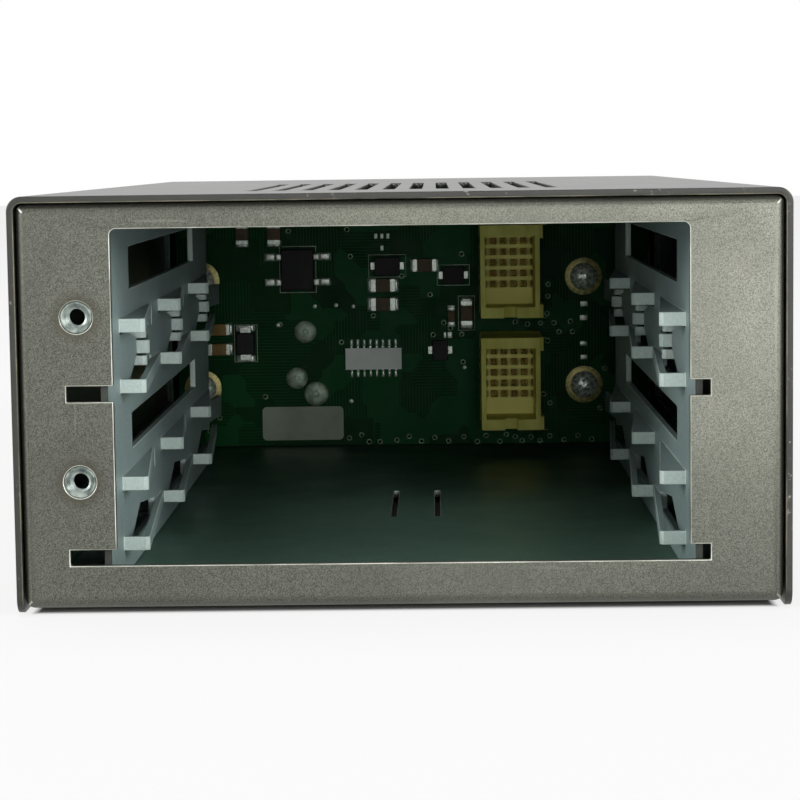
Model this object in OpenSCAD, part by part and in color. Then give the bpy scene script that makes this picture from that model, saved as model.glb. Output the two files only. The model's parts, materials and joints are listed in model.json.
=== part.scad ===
// Two-slot media converter chassis: a bent sheet-metal pan inside a wrap-round cover,
// with lanced card guides at both sides and a backplane board across the rear.
// +X is to the right seen from the front, +Y runs to the rear, +Z is up.
// The origin is the middle of the footprint, on the surface that the cover's edges stand on.

/* [Case] */
// Width over the cover
case_w = 103; // [100:0.5:112]
// Depth from the front panel's face to the rear panel's face
case_d = 190.5; // [186:0.5:220]
// Height to the top of the cover
case_h = 55.5; // [54.5:0.5:64]
// Thickness of the cover's sheet
cover_t = 0.9; // [0.7:0.1:1.2]
// Outside radius of the cover's two long bends
cover_bend = 2; // [1.6:0.1:3]
// Radius of the lower corners of the cover's sides
skirt_r = 2.2; // [1:0.1:4]
// Thickness of the pan's sheet
pan_t = 1.2; // [0.8:0.1:1.4]
// Inside radius of the pan's bends
pan_bend = 0.4; // [0.2:0.1:0.8]
// Height of the floor's underside above the cover's edges
pan_lift = 0.7; // [0.6:0.1:1.2]
// Depth of the flanges round the front and rear panels
flange_d = 10; // [7:0.5:12]
// Height of the pan's side walls
side_wall_h = 10; // [8:0.5:14]

/* [Cover vents] */
// Distance between neighbouring vents
vent_pitch = 3.9; // [3.2:0.1:5]
// Width of one vent
vent_w = 1.9; // [1.2:0.1:2.4]
// Length of the vents as a share of the chassis's depth
vent_l_share = 0.43; // [0.3:0.01:0.48]
// Distance from the front edge to the vents
vent_y = 25.5; // [20:0.5:40]
// Number of vents
vent_count = 12; // [8:2:14]

/* [Front opening] */
// Distance from the cover's side to the inner face of a guide frame
side_space = 12.7; // [12.4:0.1:14]
// How far the opening's sides stand in from the guide frames' inner faces
opening_step = 0.8; // [0.6:0.1:1.2]
// Height of its lower edge above the cover's edges
opening_z = 6.5; // [6:0.1:7]
// Height of the panel's rim above the opening
top_rim = 4.4; // [4:0.1:5]
// Radius of the opening's corners
opening_r = 0.8; // [0.4:0.1:1.5]
// Play of the two faceplates in the opening
slot_play = 0.92; // [0.5:0.01:1.5]
// Height of the notches at the opening's sides
notch_h = 2.1; // [1.8:0.1:2.4]
// Reach of the notches at the left
left_notch_w = 6.2; // [5:0.1:6.6]
// Reach of the notches at the right
right_notch_w = 2.7; // [2:0.1:4]

/* [Faceplate nuts] */
// Distance of the nuts from the cover's side
nut_edge = 8.85; // [8:0.05:9.2]
// Height of each nut as a share of its slot
nut_share = 0.513; // [0.45:0.001:0.6]
// Diameter of the barrel that is pressed into the panel
nut_barrel_d = 4.2; // [4:0.1:5]
// Diameter of the nut behind the panel
nut_d = 6.35; // [5.5:0.05:7]
// Height of the nut behind the panel
nut_h = 1.5; // [1:0.1:2.5]
// Diameter of the hole inside the thread
nut_hole_d = 2.26; // [2:0.01:2.6]

/* [Guide frames] */
// Thickness of the frames' sheet
guide_t = 1; // [0.8:0.1:1.2]
// Gap between the frames' rear edges and the backplane board
guide_tail = 28.5; // [27:0.5:32]
// Width of the foot that is riveted to the floor
foot_w = 8.6; // [7:0.1:9]
// Distance from the front panel's face to the first guide finger
finger_y = 13.8; // [12:0.1:15]
// How far a finger stands in from its frame
finger_in = 3.6; // [3:0.1:4]
// Height of a finger
finger_h = 1.9; // [1.6:0.1:2.2]
// Height of the lower fingers' underside above the cover's edges
finger_z = 6.33; // [6:0.01:7]
// Clear height between the fingers as a share of a slot's height
channel_share = 0.2963; // [0.28:0.0001:0.31]
// Distance from the front panel's face to the windows
window_y = 26; // [22:0.5:30]
// Distance from the windows to the frames' rear edge
window_tail = 26; // [22:0.5:32]

/* [Backplane] */
// Length of the standoffs between the board and the rear panel
standoff_l = 13.2; // [12.7:0.1:16]
// Thickness of the board
board_t = 1.6; // [1.2:0.1:2]
// Gap between the board's edges and the pan's outer sides
board_side_gap = 3; // [2:0.5:3.5]
// Gap between the board's upper edge and the rear panel's upper flange
board_top_gap = 1.3; // [0.8:0.1:2]
// Distance from the right guide frame's inner face inwards to the right board screws
right_screw_in = 4.3; // [3.8:0.1:6]
// Distance from the left guide frame's inner face outwards to the left board screws
left_screw_out = 3.8; // [3:0.1:4]
// Height of a board screw above its slot's lower edge as a share of the slot
screw_share = 0.334; // [0.3:0.001:0.4]
// Diameter of the standoffs behind the board
standoff_d = 5.6; // [5:0.1:6.2]

/* [Slot connectors] */
// Distance of the connectors from the middle as a share of the board's width
connector_x_share = 0.2016; // [0.19:0.0001:0.215]
// Height of a connector's middle in its slot, as a share of the slot
connector_z_share = 0.426; // [0.42:0.001:0.44]
// Width of a connector
connector_w = 11.5; // [11.3:0.1:13]
// How much lower than its slot a connector is
connector_clear = 3.84; // [3.4:0.01:5]
// How far a connector stands out from the board
connector_d = 20; // [16:0.5:22]
// Height of the bed that the contacts sit in
bed_d = 8.3; // [7:0.1:10]
// Distance between neighbouring contacts in a row
contact_pitch = 2; // [1.9:0.01:2.02]

/* [DC inlet] */
// Distance of the inlet to the left of the middle as a share of the board's width
inlet_x_share = 0.2284; // [0.2:0.0001:0.24]
// Height of the inlet above the board's lower edge as a share of the board's height
inlet_z_share = 0.344; // [0.33:0.001:0.36]
// Diameter of the plug's hole
inlet_hole_d = 5.8; // [5.5:0.1:6.4]
// Diameter of the centre pin
inlet_pin_d = 2.1; // [1.9:0.1:2.5]
// Diameter of the nose that fills the rear panel's hole
inlet_nose_d = 9.4; // [9:0.1:10]

/* [Fasteners] */
// Diameter of the shank of the cover screws and the board screws
screw_d = 2.6; // [2.2:0.1:2.8]
// Diameter of the board screws' heads
pan_head_d = 5.4; // [4.8:0.1:5.8]
// Height of the board screws' heads
pan_head_h = 1.9; // [1.4:0.1:2.2]
// Diameter of the cover screws' flat heads
flat_head_d = 4.8; // [4.2:0.1:5.2]
// Diameter of the rivets' shanks
rivet_d = 2.4; // [2:0.1:2.6]

/* [Hidden] */
$fn = 48;

// One overrun for every cut, and the play between pieces
cut = 0.5;
play = 0.1;
slip = 0.05;

// The pan stands inside the cover
pan_w = case_w - 2 * (cover_t + play);
pan_top = case_h - cover_t - play;
pan_r = pan_t + pan_bend;
floor_z = pan_lift + pan_t;
rear_y = case_d - pan_t;
vent_l = case_d * vent_l_share;
slots = [0, 1];
sides = [-1, 1];

// The opening holds two slots of the same height
guide_gap = case_w - 2 * side_space;
opening_w = guide_gap - 2 * opening_step;
opening_h = case_h - opening_z - top_rim;
slot_pitch = (opening_h - slot_play) / len(slots);
nut_x = case_w / 2 - nut_edge;
nut_rise = slot_pitch * nut_share;

// Two slits in the floor, which leave a bridge for a cable tie
slit_w = 0.9;
slit_left_x = -2.5;
slit_right_x = 4.6;
slit_y_share = 0.3885;
slit_l_share = 0.163;

// Board screws, standoffs and the board between its clearances
board_z = floor_z + play;
board_y = rear_y - standoff_l - board_t;
board_back = board_y + board_t;
board_w = pan_w - 2 * board_side_gap;
board_h = pan_top - pan_t - board_z - board_top_gap;
right_screw_x = guide_gap / 2 - right_screw_in;
left_screw_x = guide_gap / 2 + left_screw_out;
screw_rise = slot_pitch * screw_share;
board_screw_l = 8;
tap_play = 0.08;
recess_across = 3;
recess_w = 0.7;
recess_deep = 0.9;

// Guide frames: fingers at three stations, each with a leaf that reaches the next station
frame_y = pan_t;
frame_top_gap = 0.9;
guide_l = board_y - guide_tail;
guide_h = pan_top - pan_t - floor_z - frame_top_gap;
stations = [0, 1, 2];
last_station = 2;
spring_y_share = 0.42;
spring_run_share = 0.309;
spring_gap_edge = 1.2;
finger_pitch = (guide_l - spring_gap_edge - finger_y) / (last_station + spring_y_share + spring_run_share);
channel_h = slot_pitch * channel_share;
upper_finger_rise = finger_h + channel_h;
run_share = 0.79;
finger_run = finger_pitch * run_share;
lance_play = 0.35;
lance_start = 8.2;
lance_slant = 11.8;
lance_rise = 4.25;
relief_lead = 9;
relief_w = 0.9;
relief_drop = 1.5;
relief_h = 2.7;
mouse_r = 1.3;
mouse_share = 0.75;
tip_r = 0.5;
leaf_out = 0.3;

// Windows in the frames: the clear bands between the finger rows, and the windows' shares of them
window_l = guide_l - window_y - window_tail;
band_z = [finger_z + upper_finger_rise + finger_h, finger_z + slot_pitch + upper_finger_rise + finger_h];
band_h = [finger_z + slot_pitch - band_z[0], floor_z + guide_h - band_z[1]];
window_low_shares = [0.225, 0.248];
window_h_shares = [0.436, 0.43];

// Small springs in the upper slot, three above each other, in shares of the channel's height
spring_lows = [0.04, 0.31, 0.655];
spring_hs = [0.22, 0.3, 0.155];
spring_ins = [1.4, 1.8, 1.3];
spring_gap_shares = [0.69, 0.83];
spring_gap_lead = 7;

// The tongues at the rear leave the card just its own thickness
tongue_rise = 1.9;
tongue_h_share = 0.587;
tongue_l = 13;
tongue_root = 6;
tongue_in = 1.2;
foot_bend_r = guide_t;
rivet_share = [0.14, 0.5, 0.88];
rivet_head_d = 4.4;
rivet_head_h = 0.9;
rivet_tail_h = 0.4;

// Cover screws, two in each side
cover_screw_edge = 34;
cover_screw_ys = [cover_screw_edge, case_d - cover_screw_edge];
cover_screw_z = 5.6;
cover_screw_l = 4;
flat_head_h = (flat_head_d - screw_d) / 2;

// Slot connectors
connector_x = board_w * connector_x_share;
connector_h = slot_pitch - connector_clear;
connector_rise = slot_pitch * connector_z_share;
side_wall = 0.95;
end_wall = 2.1;
ear_w = 0.65;
ear_h = 2.6;
columns = 6;
rows = 5;
row_share = 0.1183;
row_pitch = connector_h * row_share;
top_row_share = 0.189;
cavity = 1.3;
cavity_deep = 4;
contact_w = 0.9;
contact_l = 3.4;
blade_t = 0.3;
corner_r = 0.3;
key_w = 2.4;
key_deep = 2.5;

// DC inlet
inlet_x = board_w * inlet_x_share;
inlet_z = board_z + board_h * inlet_z_share;
inlet_body_w = 11;
inlet_body_h = 14.4;
inlet_body_l = 10;
inlet_hole_deep = 9.5;
inlet_pin_l = 9;
terminal_d = 1.6;
terminal_play = 0.2;
solder_h = 0.9;
joint_ds = [4.5, 4.4, 4.9];
joint_xs = [0, -1.85, 2.05];
joint_zs = [5.9, -3.5, -6.7];

// Parts on the board's front face. Places are shares of the board's width, from its middle,
// and of its height, from its lower edge. Sizes are width, height and thickness.
bridge_shares = [-0.2421, 0.714];
bridge_size = [6.5, 8.2, 2.6];
bridge_lead_pitch = 5.1;
bridge_lead = [3.3, 1.15, 0.25];
diode_shares = [-0.3553, 0.418];
diode_size = [3.6, 4.3, 2.2];
diode_end = [2.2, 1.2, 1.1];
ic_shares = [-0.0837, 0.352];
ic_size = [10.3, 3.9, 1.6];
ic_pins = 8;
ic_pin_pitch = 1.27;
ic_lead = [1.75, 0.42, 0.2];
ic_label_size = [11.3, 4.3];
label_t = 0.1;
label_x_share = -0.2363;
label_w = 16.4;
label_low_gap = 1.1;
label_top_gap = 0.15;
label_r = 0.9;
tan_shares = [[-0.4116, 0.476], [-0.4116, 0.396]];
tan_size = [4.5, 2.3, 1.8];
tan_end = 0.9;
chip_shares = [[-0.0621, 0.646], [-0.0621, 0.57], [0.0268, 0.726], [0.1147, 0.53],
    [0.0821, 0.518], [-0.3589, 0.858], [-0.2916, 0.858]];
// Each chip part: width, height, thickness, length of an end, 1 where it stands upright
chip_sizes = [[5.1, 2.7, 1.1, 1.2, 0], [5.1, 2.7, 1.1, 1.2, 0], [5, 2.6, 2, 1.1, 0],
    [2.4, 5.1, 1.1, 1.1, 1], [1.4, 3.9, 0.7, 0.9, 1], [2.5, 4.2, 1.2, 1, 1], [2.7, 4.2, 1.2, 1, 1]];
regulator_shares = [[0.0579, 0.382], [-0.0526, 0.724], [0.0875, 0.684]];
regulator_sizes = [[3.1, 4, 1.5], [5, 3.6, 2], [4.2, 3.4, 1.2]];
regulator_lead = [0.9, 1.5, 0.3];

// A place on the board, in X and Z, from its shares
function on_face(share) = [board_w * share[0], board_z + board_h * share[1]];
function slot_z(slot) = opening_z + slot * slot_pitch;
function finger_low(slot) = finger_z + slot * slot_pitch;
function finger_at(station) = finger_y + station * finger_pitch;
function screw_at(side, slot) =
    [side < 0 ? -left_screw_x : right_screw_x, slot_z(slot) + screw_rise];

// Places its children by their distance from the front panel's face
module from_front() { translate([0, -case_d / 2, 0]) children(); }

// Extrudes a shape drawn in X and Z towards the rear, from y, over the length l
module along_y(y, l) {
    translate([0, y + l, 0]) rotate([90, 0, 0]) linear_extrude(l) children();
}

// Extrudes a shape drawn in Y and Z towards the right, from x, over the length l
module along_x(x, l) {
    translate([x, 0, 0]) rotate([90, 0, 90]) linear_extrude(l) children();
}

// A rectangle from the corner p with the size s, rounded at all corners
module rounded(p, s, r) {
    translate([p[0] + r, p[1]]) square([s[0] - 2 * r, s[1]]);
    translate([p[0], p[1] + r]) square([s[0], s[1] - 2 * r]);
    for (x = [p[0] + r, p[0] + s[0] - r], z = [p[1] + r, p[1] + s[1] - r])
        translate([x, z]) circle(r);
}

// A block with all edges rounded but those at its rear
module bent_block(w, low, top, y, l, r) {
    far = l + 2 * r;
    intersection() {
        along_y(y, l) rounded([-w / 2, low], [w, top - low], r);
        along_x(-w / 2, w) rounded([y, low], [far, top - low], r);
        translate([0, 0, low]) linear_extrude(top - low) rounded([-w / 2, y], [w, far], r);
    }
}

// A panel with its flanges bent to the rear
module bent_panel() {
    difference() {
        bent_block(pan_w, pan_lift, pan_top, 0, flange_d, pan_r);
        bent_block(pan_w - 2 * pan_t, floor_z, pan_top - pan_t, pan_t, flange_d, pan_bend);
    }
}

// Floor and side walls between the two panels' flanges
module pan_trough() {
    along_y(flange_d, case_d - 2 * flange_d) intersection() {
        difference() {
            rounded([-pan_w / 2, pan_lift], [pan_w, pan_top - pan_lift], pan_r);
            rounded([-pan_w / 2 + pan_t, floor_z], [pan_w - 2 * pan_t, pan_top - pan_t - floor_z], pan_bend);
        }
        translate([-pan_w / 2, pan_lift]) square([pan_w, side_wall_h]);
    }
}

// The opening with its notches, drawn in X and Z
module opening_outline() {
    rounded([-opening_w / 2, opening_z], [opening_w, opening_h], opening_r);
    for (slot = slots) translate([-opening_w / 2 - left_notch_w, slot_z(slot)])
        square([opening_w + left_notch_w + right_notch_w, notch_h]);
}

module base_pan() {
    color([0.62, 0.61, 0.58]) from_front() difference() {
        union() {
            bent_panel();
            translate([0, case_d, 0]) mirror([0, 1, 0]) bent_panel();
            pan_trough();
        }
        along_y(-cut, pan_t + 2 * cut) opening_outline();
        for (slot = slots) along_y(-cut, pan_t + 2 * cut)
            translate([-nut_x, slot_z(slot) + nut_rise]) circle(nut_barrel_d / 2 + slip);
        for (x = [slit_left_x, slit_right_x])
            translate([x - slit_w / 2, case_d * slit_y_share, pan_lift - cut])
                cube([slit_w, case_d * slit_l_share, pan_t + 2 * cut]);
        along_y(rear_y - cut, pan_t + 2 * cut)
            translate([-inlet_x, inlet_z]) circle(inlet_nose_d / 2 + play);
        for (side = sides, slot = slots) along_y(rear_y - cut, pan_t + 2 * cut)
            translate(screw_at(side, slot)) circle(standoff_d / 2 + slip);
        for (side = sides, y = cover_screw_ys) cover_screw_place(side, y)
            translate([0, 0, -pan_t - play - cut]) cylinder(pan_t + 2 * cut, d = screw_d + 2 * tap_play);
        rivet_places() translate([0, 0, -pan_t - cut]) cylinder(pan_t + 2 * cut, d = rivet_d + play);
    }
}

// The cover is an upturned U; its origin for a screw is the side's inner face, +Z outwards
module cover_screw_place(side, y) {
    translate([side * (case_w / 2 - cover_t), y, cover_screw_z]) rotate([0, side * 90, 0]) children();
}

module vent(x) {
    for (y = [vent_y + vent_w / 2, vent_y + vent_l - vent_w / 2])
        translate([x, y, case_h - cover_t - cut]) cylinder(cover_t + 2 * cut, d = vent_w);
    translate([x - vent_w / 2, vent_y + vent_w / 2, case_h - cover_t - cut])
        cube([vent_w, vent_l - vent_w, cover_t + 2 * cut]);
}

// What is cut off a lower corner of the cover's sides to round it
module skirt_corner() {
    difference() {
        translate([-cut, -cut]) square(skirt_r + cut);
        translate([skirt_r, skirt_r]) circle(skirt_r);
    }
}

module cover() {
    inner_bend = cover_bend - cover_t;
    color([0.74, 0.73, 0.75]) from_front() difference() {
        along_y(0, case_d) difference() {
            rounded([-case_w / 2, -cover_bend], [case_w, case_h + cover_bend], cover_bend);
            rounded([-case_w / 2 + cover_t, -cover_bend],
                [case_w - 2 * cover_t, case_h - cover_t + cover_bend], inner_bend);
            translate([-case_w / 2 - cut, -cover_bend - cut]) square([case_w + 2 * cut, cover_bend + cut]);
        }
        for (n = [0 : vent_count - 1]) vent((n - (vent_count - 1) / 2) * vent_pitch);
        along_x(-case_w / 2 - cut, case_w + 2 * cut) {
            skirt_corner();
            translate([case_d, 0]) mirror([1, 0]) skirt_corner();
        }
        for (side = sides, y = cover_screw_ys) cover_screw_place(side, y) {
            translate([0, 0, cover_t - flat_head_h])
                cylinder(flat_head_h, d1 = screw_d + 2 * slip, d2 = flat_head_d + 2 * slip);
            translate([0, 0, -cut]) cylinder(cover_t + 2 * cut, d = screw_d + 2 * tap_play);
        }
    }
}

module cover_screws() {
    color([0.55, 0.55, 0.56]) from_front() for (side = sides, y = cover_screw_ys)
        cover_screw_place(side, y) difference() {
            union() {
                translate([0, 0, cover_t - flat_head_h])
                    cylinder(flat_head_h, d1 = screw_d, d2 = flat_head_d);
                translate([0, 0, cover_t - cover_screw_l])
                    cylinder(cover_screw_l - flat_head_h / 2, d = screw_d);
            }
            translate([0, 0, cover_t - recess_deep / 2]) cross_recess();
        }
}

// Cross recess, from its floor upwards
module cross_recess() {
    for (turn = [0, 90]) rotate(turn)
        translate([-recess_across / 2, -recess_w / 2, 0]) cube([recess_across, recess_w, recess_deep]);
}

// One finger in plan, with u inwards from the frame's inner face: a front leg that stands
// square to the frame, and a leaf that runs back outwards until it is out from the frame by end_in
module leaf(y, z, h, reach, run, end_in) {
    translate([0, 0, z]) linear_extrude(h)
        polygon([[-guide_t, y], [reach - tip_r, y], [reach, y + tip_r], [end_in, y + run],
            [end_in - guide_t, y + run], [reach - guide_t, y + guide_t], [-guide_t, y + guide_t]]);
}

// A finger of the frame: its leaf reaches the next finger, or ends after the length run
module finger(station, z, run) {
    leaf(finger_at(station), z, finger_h, finger_in, run,
        finger_in - (finger_in - leaf_out) * run / finger_pitch);
}

// A finger of the upper row: its leaf returns to the plate after the length run, under a roof
module roofed_finger(station, z, run) {
    y = finger_at(station);
    leaf(y, z, finger_h, finger_in, run, 0);
    translate([0, 0, z + finger_h - guide_t]) linear_extrude(guide_t)
        polygon([[-guide_t, y], [finger_in - guide_t, y], [finger_in - guide_t, y + guide_t],
            [-guide_t / 2, y + run], [-guide_t, y + run]]);
}

// A hole through the frame, in Y and Z
module frame_hole(y, z, l, h) {
    translate([-guide_t - cut, y, z]) cube([guide_t + 2 * cut, l, h]);
}

// Plate and foot of a frame, with u inwards from its inner face
module frame_sheet() {
    translate([0, frame_y, 0]) rotate([90, 0, 0]) mirror([0, 0, 1]) linear_extrude(guide_l - frame_y) {
        translate([-guide_t, floor_z + guide_t]) square([guide_t, guide_h - guide_t]);
        translate([-foot_w, floor_z]) square([foot_w - guide_t, guide_t]);
        intersection() {
            translate([-guide_t, floor_z + guide_t]) circle(foot_bend_r);
            translate([-guide_t, floor_z]) square([guide_t, guide_t]);
        }
    }
}

// A cut through the frame with the outline p, in Y and Z
module frame_cut(p) {
    along_x(-guide_t - cut, guide_t + 2 * cut) polygon(p);
}

// The slots behind the fingers; the rearmost ones are open at the frame's rear edge.
// The upper row's slots lie below the roofs of the fingers, with a relief before the next finger
module lanced_slots() {
    for (slot = slots, station = stations) {
        y = finger_at(station);
        far = station < last_station ? y + finger_run : guide_l + cut;
        low = finger_low(slot) - lance_play;
        frame_cut([[y + lance_start, low], [far, low], [far, low + finger_h + 2 * lance_play],
            [y + lance_start + lance_slant, low + lance_rise]]);
        frame_hole(y + guide_t, low + upper_finger_rise, far - y - guide_t,
            lance_play + finger_h - guide_t / 2);
        if (station > 0) frame_hole(y - relief_lead, finger_low(slot) + upper_finger_rise - relief_drop,
            relief_w, relief_h);
    }
}

// The opening round the small springs of the upper slot, which runs into the lower finger's slot
module spring_gap(station) {
    low = finger_low(1) + finger_h;
    y = finger_at(station) + finger_pitch * spring_y_share;
    far = y + finger_pitch * spring_run_share;
    z = [for (share = spring_gap_shares) low + channel_h * share];
    frame_cut([[y - lance_play, low], [far, low], [far, z[1]], [y - spring_gap_lead, z[1]],
        [y - lance_play, z[0]]]);
}

// A tongue behind the plate's rear edge, which bends inwards
module rear_tongue(slot) {
    translate([0, 0, finger_low(slot) + finger_h + tongue_rise])
        linear_extrude(channel_h * tongue_h_share)
        polygon([[-guide_t, guide_l - tongue_root], [0, guide_l - tongue_root],
            [tongue_in, guide_l + tongue_l], [tongue_in - guide_t, guide_l + tongue_l]]);
}

// A frame stands with its inner face in the plane x = 0 and its foot to the left
module guide_frame() {
    difference() {
        frame_sheet();
        lanced_slots();
        for (station = stations) spring_gap(station);
        for (station = [0, 1])
            translate([-guide_t - cut, finger_at(station) + finger_pitch * mouse_share, floor_z])
            rotate([0, 90, 0]) cylinder(guide_t + 2 * cut, r = mouse_r);
        for (slot = slots) frame_hole(window_y, band_z[slot] + band_h[slot] * window_low_shares[slot],
            window_l, band_h[slot] * window_h_shares[slot]);
        for (share = rivet_share) translate([-rivet_u(), guide_l * share, floor_z - cut])
            cylinder(guide_t + 2 * cut, d = rivet_d + play);
    }
    for (station = stations, slot = slots) {
        finger(station, finger_low(slot), finger_pitch);
        roofed_finger(station, finger_low(slot) + upper_finger_rise,
            station < last_station ? finger_run : guide_l - finger_at(station));
    }
    for (station = stations, n = [0 : len(spring_lows) - 1])
        leaf(finger_at(station) + finger_pitch * spring_y_share,
            finger_low(1) + finger_h + channel_h * spring_lows[n], channel_h * spring_hs[n],
            spring_ins[n], finger_pitch * spring_run_share, 0);
    for (slot = slots) rear_tongue(slot);
}

function rivet_u() = guide_t + (foot_w - guide_t) / 2;

// Rivets through the feet of both frames, from the floor's upper face
module rivet_places() {
    for (side = sides, share = rivet_share)
        translate([side * (guide_gap / 2 + rivet_u()), guide_l * share, floor_z]) children();
}

module left_guide_frame() {
    color([0.66, 0.69, 0.71]) from_front() translate([-guide_gap / 2, 0, 0]) guide_frame();
}

module right_guide_frame() {
    color([0.66, 0.69, 0.71]) from_front() mirror([1, 0, 0])
        translate([-guide_gap / 2, 0, 0]) guide_frame();
}

module guide_frame_rivets() {
    color([0.7, 0.7, 0.7]) from_front() rivet_places() {
        translate([0, 0, -pan_t - rivet_tail_h]) cylinder(pan_t + rivet_tail_h + guide_t, d = rivet_d);
        translate([0, 0, -pan_t - rivet_tail_h]) cylinder(rivet_tail_h, d = rivet_head_d);
        translate([0, 0, guide_t]) cylinder(rivet_head_h / 2, d = rivet_head_d);
        translate([0, 0, guide_t + rivet_head_h / 2])
            cylinder(rivet_head_h / 2, d1 = rivet_head_d, d2 = rivet_d);
    }
}

// Self-clinching nuts: the barrel is flush with the panel's face
module faceplate_nuts() {
    color([0.72, 0.72, 0.72]) from_front() for (slot = slots)
        translate([-nut_x, 0, slot_z(slot) + nut_rise]) rotate([-90, 0, 0]) difference() {
            union() {
                cylinder(pan_t, d = nut_barrel_d);
                translate([0, 0, pan_t]) cylinder(nut_h, d = nut_d);
            }
            translate([0, 0, -cut]) cylinder(pan_t + nut_h + 2 * cut, d = nut_hole_d);
        }
}

module backplane_board() {
    color([0.05, 0.2, 0.13]) from_front() along_y(board_y, board_t) difference() {
        translate([-board_w / 2, board_z]) square([board_w, board_h]);
        for (side = sides, slot = slots) translate(screw_at(side, slot)) circle(screw_d / 2 + 2 * play);
        for (n = [0 : len(joint_xs) - 1])
            translate([joint_xs[n] - inlet_x, inlet_z + joint_zs[n]]) circle(terminal_d / 2 + terminal_play);
    }
}

// Standoffs pressed into the rear panel, open towards the board
module backplane_standoffs() {
    color([0.7, 0.7, 0.68]) from_front() for (side = sides, slot = slots) {
        p = screw_at(side, slot);
        translate([p[0], board_back, p[1]]) rotate([-90, 0, 0]) difference() {
            cylinder(standoff_l + pan_t, d = standoff_d);
            translate([0, 0, -cut]) cylinder(board_screw_l - board_t + 2 * cut, d = screw_d + 2 * tap_play);
        }
    }
}

// Pan-head screws with a domed head, which stands on the board's front face
module pan_screw(shank) {
    dome_r = (pow(pan_head_d / 2, 2) + pow(pan_head_h, 2)) / (2 * pan_head_h);
    difference() {
        union() {
            intersection() {
                translate([0, 0, pan_head_h - dome_r]) sphere(dome_r);
                cylinder(pan_head_h, d = pan_head_d + play);
            }
            translate([0, 0, -shank]) cylinder(shank, d = screw_d);
        }
        translate([0, 0, pan_head_h - recess_deep]) cross_recess();
    }
}

module backplane_screws() {
    color([0.8, 0.8, 0.8]) from_front() for (side = sides, slot = slots) {
        p = screw_at(side, slot);
        translate([p[0], board_y, p[1]]) rotate([90, 0, 0]) pan_screw(board_screw_l);
    }
}

// Places its children at a connector's middle on the board's front face, +Z towards the front
module at_connector(slot) {
    translate([connector_x, board_y, slot_z(slot) + connector_rise]) rotate([90, 0, 0]) children();
}

module contact_places() {
    for (column = [0 : columns - 1], row = [0 : rows - 1])
        translate([(column - (columns - 1) / 2) * contact_pitch,
            connector_h * (1 / 2 - top_row_share) - row * row_pitch, 0]) children();
}

// An open shroud with a raised bed, in which each contact has its own square cavity
module slot_connector() {
    difference() {
        union() {
            linear_extrude(connector_d) rounded([-connector_w / 2, -connector_h / 2],
                [connector_w, connector_h], corner_r);
            for (end = [-1, 1]) translate([0, end > 0 ? connector_h / 2 - ear_h : -connector_h / 2, 0])
                cube([connector_w / 2 + ear_w, ear_h, connector_d - ear_w]);
        }
        translate([-connector_w / 2 + side_wall, -connector_h / 2 + end_wall, bed_d])
            cube([connector_w - 2 * side_wall, connector_h - 2 * end_wall, connector_d]);
        translate([0, 0, bed_d - cavity_deep]) contact_places()
            translate([-cavity / 2, -cavity / 2, 0]) cube([cavity, cavity, cavity_deep + cut]);
        translate([-key_w / 2, -connector_h / 2 - cut, connector_d - key_deep])
            cube([key_w, end_wall + 2 * cut, key_deep + cut]);
    }
}

// Forked contacts, standing on the floors of their cavities
module connector_contacts() {
    translate([0, 0, bed_d - cavity_deep]) contact_places() difference() {
        translate([-contact_w / 2, -contact_w / 2, 0]) cube([contact_w, contact_w, contact_l]);
        translate([-contact_w / 2 + blade_t, -contact_w, blade_t])
            cube([contact_w - 2 * blade_t, 2 * contact_w, contact_l]);
    }
}

module upper_slot_connector() { color([0.6, 0.58, 0.38]) from_front() at_connector(1) slot_connector(); }

module lower_slot_connector() { color([0.6, 0.58, 0.38]) from_front() at_connector(0) slot_connector(); }

module upper_connector_contacts() {
    color([0.5, 0.38, 0.16]) from_front() at_connector(1) connector_contacts();
}

module lower_connector_contacts() {
    color([0.5, 0.38, 0.16]) from_front() at_connector(0) connector_contacts();
}

// Places its children at the inlet's axis on the board's rear face, +Z towards the rear
module at_inlet() {
    translate([-inlet_x, board_back, inlet_z]) rotate([-90, 0, 0]) children();
}

module dc_inlet_housing() {
    color([0.08, 0.08, 0.08]) from_front() at_inlet() difference() {
        union() {
            translate([-inlet_body_w / 2, -inlet_body_h / 2, 0])
                cube([inlet_body_w, inlet_body_h, inlet_body_l]);
            cylinder(standoff_l + pan_t, d = inlet_nose_d);
        }
        translate([0, 0, standoff_l + pan_t - inlet_hole_deep])
            cylinder(inlet_hole_deep + cut, d = inlet_hole_d);
    }
}

module dc_inlet_pin() {
    color([0.8, 0.8, 0.8]) from_front() at_inlet()
        translate([0, 0, standoff_l + pan_t - inlet_hole_deep]) {
            cylinder(inlet_pin_l - inlet_pin_d / 2, d = inlet_pin_d);
            translate([0, 0, inlet_pin_l - inlet_pin_d / 2]) sphere(d = inlet_pin_d);
        }
}

// A flat dome with the diameter d and the height h
module dome(d, h) {
    r = (pow(d / 2, 2) + pow(h, 2)) / (2 * h);
    intersection() {
        translate([0, 0, h - r]) sphere(r);
        cylinder(h, d = d + play);
    }
}

// The inlet's three terminals, soldered on the board's front face
module dc_inlet_terminals() {
    color([0.72, 0.74, 0.72]) from_front() for (n = [0 : len(joint_xs) - 1])
        translate([joint_xs[n] - inlet_x, board_y, inlet_z + joint_zs[n]]) rotate([90, 0, 0]) {
            dome(joint_ds[n], solder_h);
            translate([0, 0, -board_t]) cylinder(board_t, d = terminal_d);
        }
}

// A block on the board's front face: its middle p in X and Z, its size s with the height last
module on_board(p, s) {
    translate([p[0] - s[0] / 2, board_y - s[2], p[1] - s[1] / 2]) cube([s[0], s[2], s[1]]);
}

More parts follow.
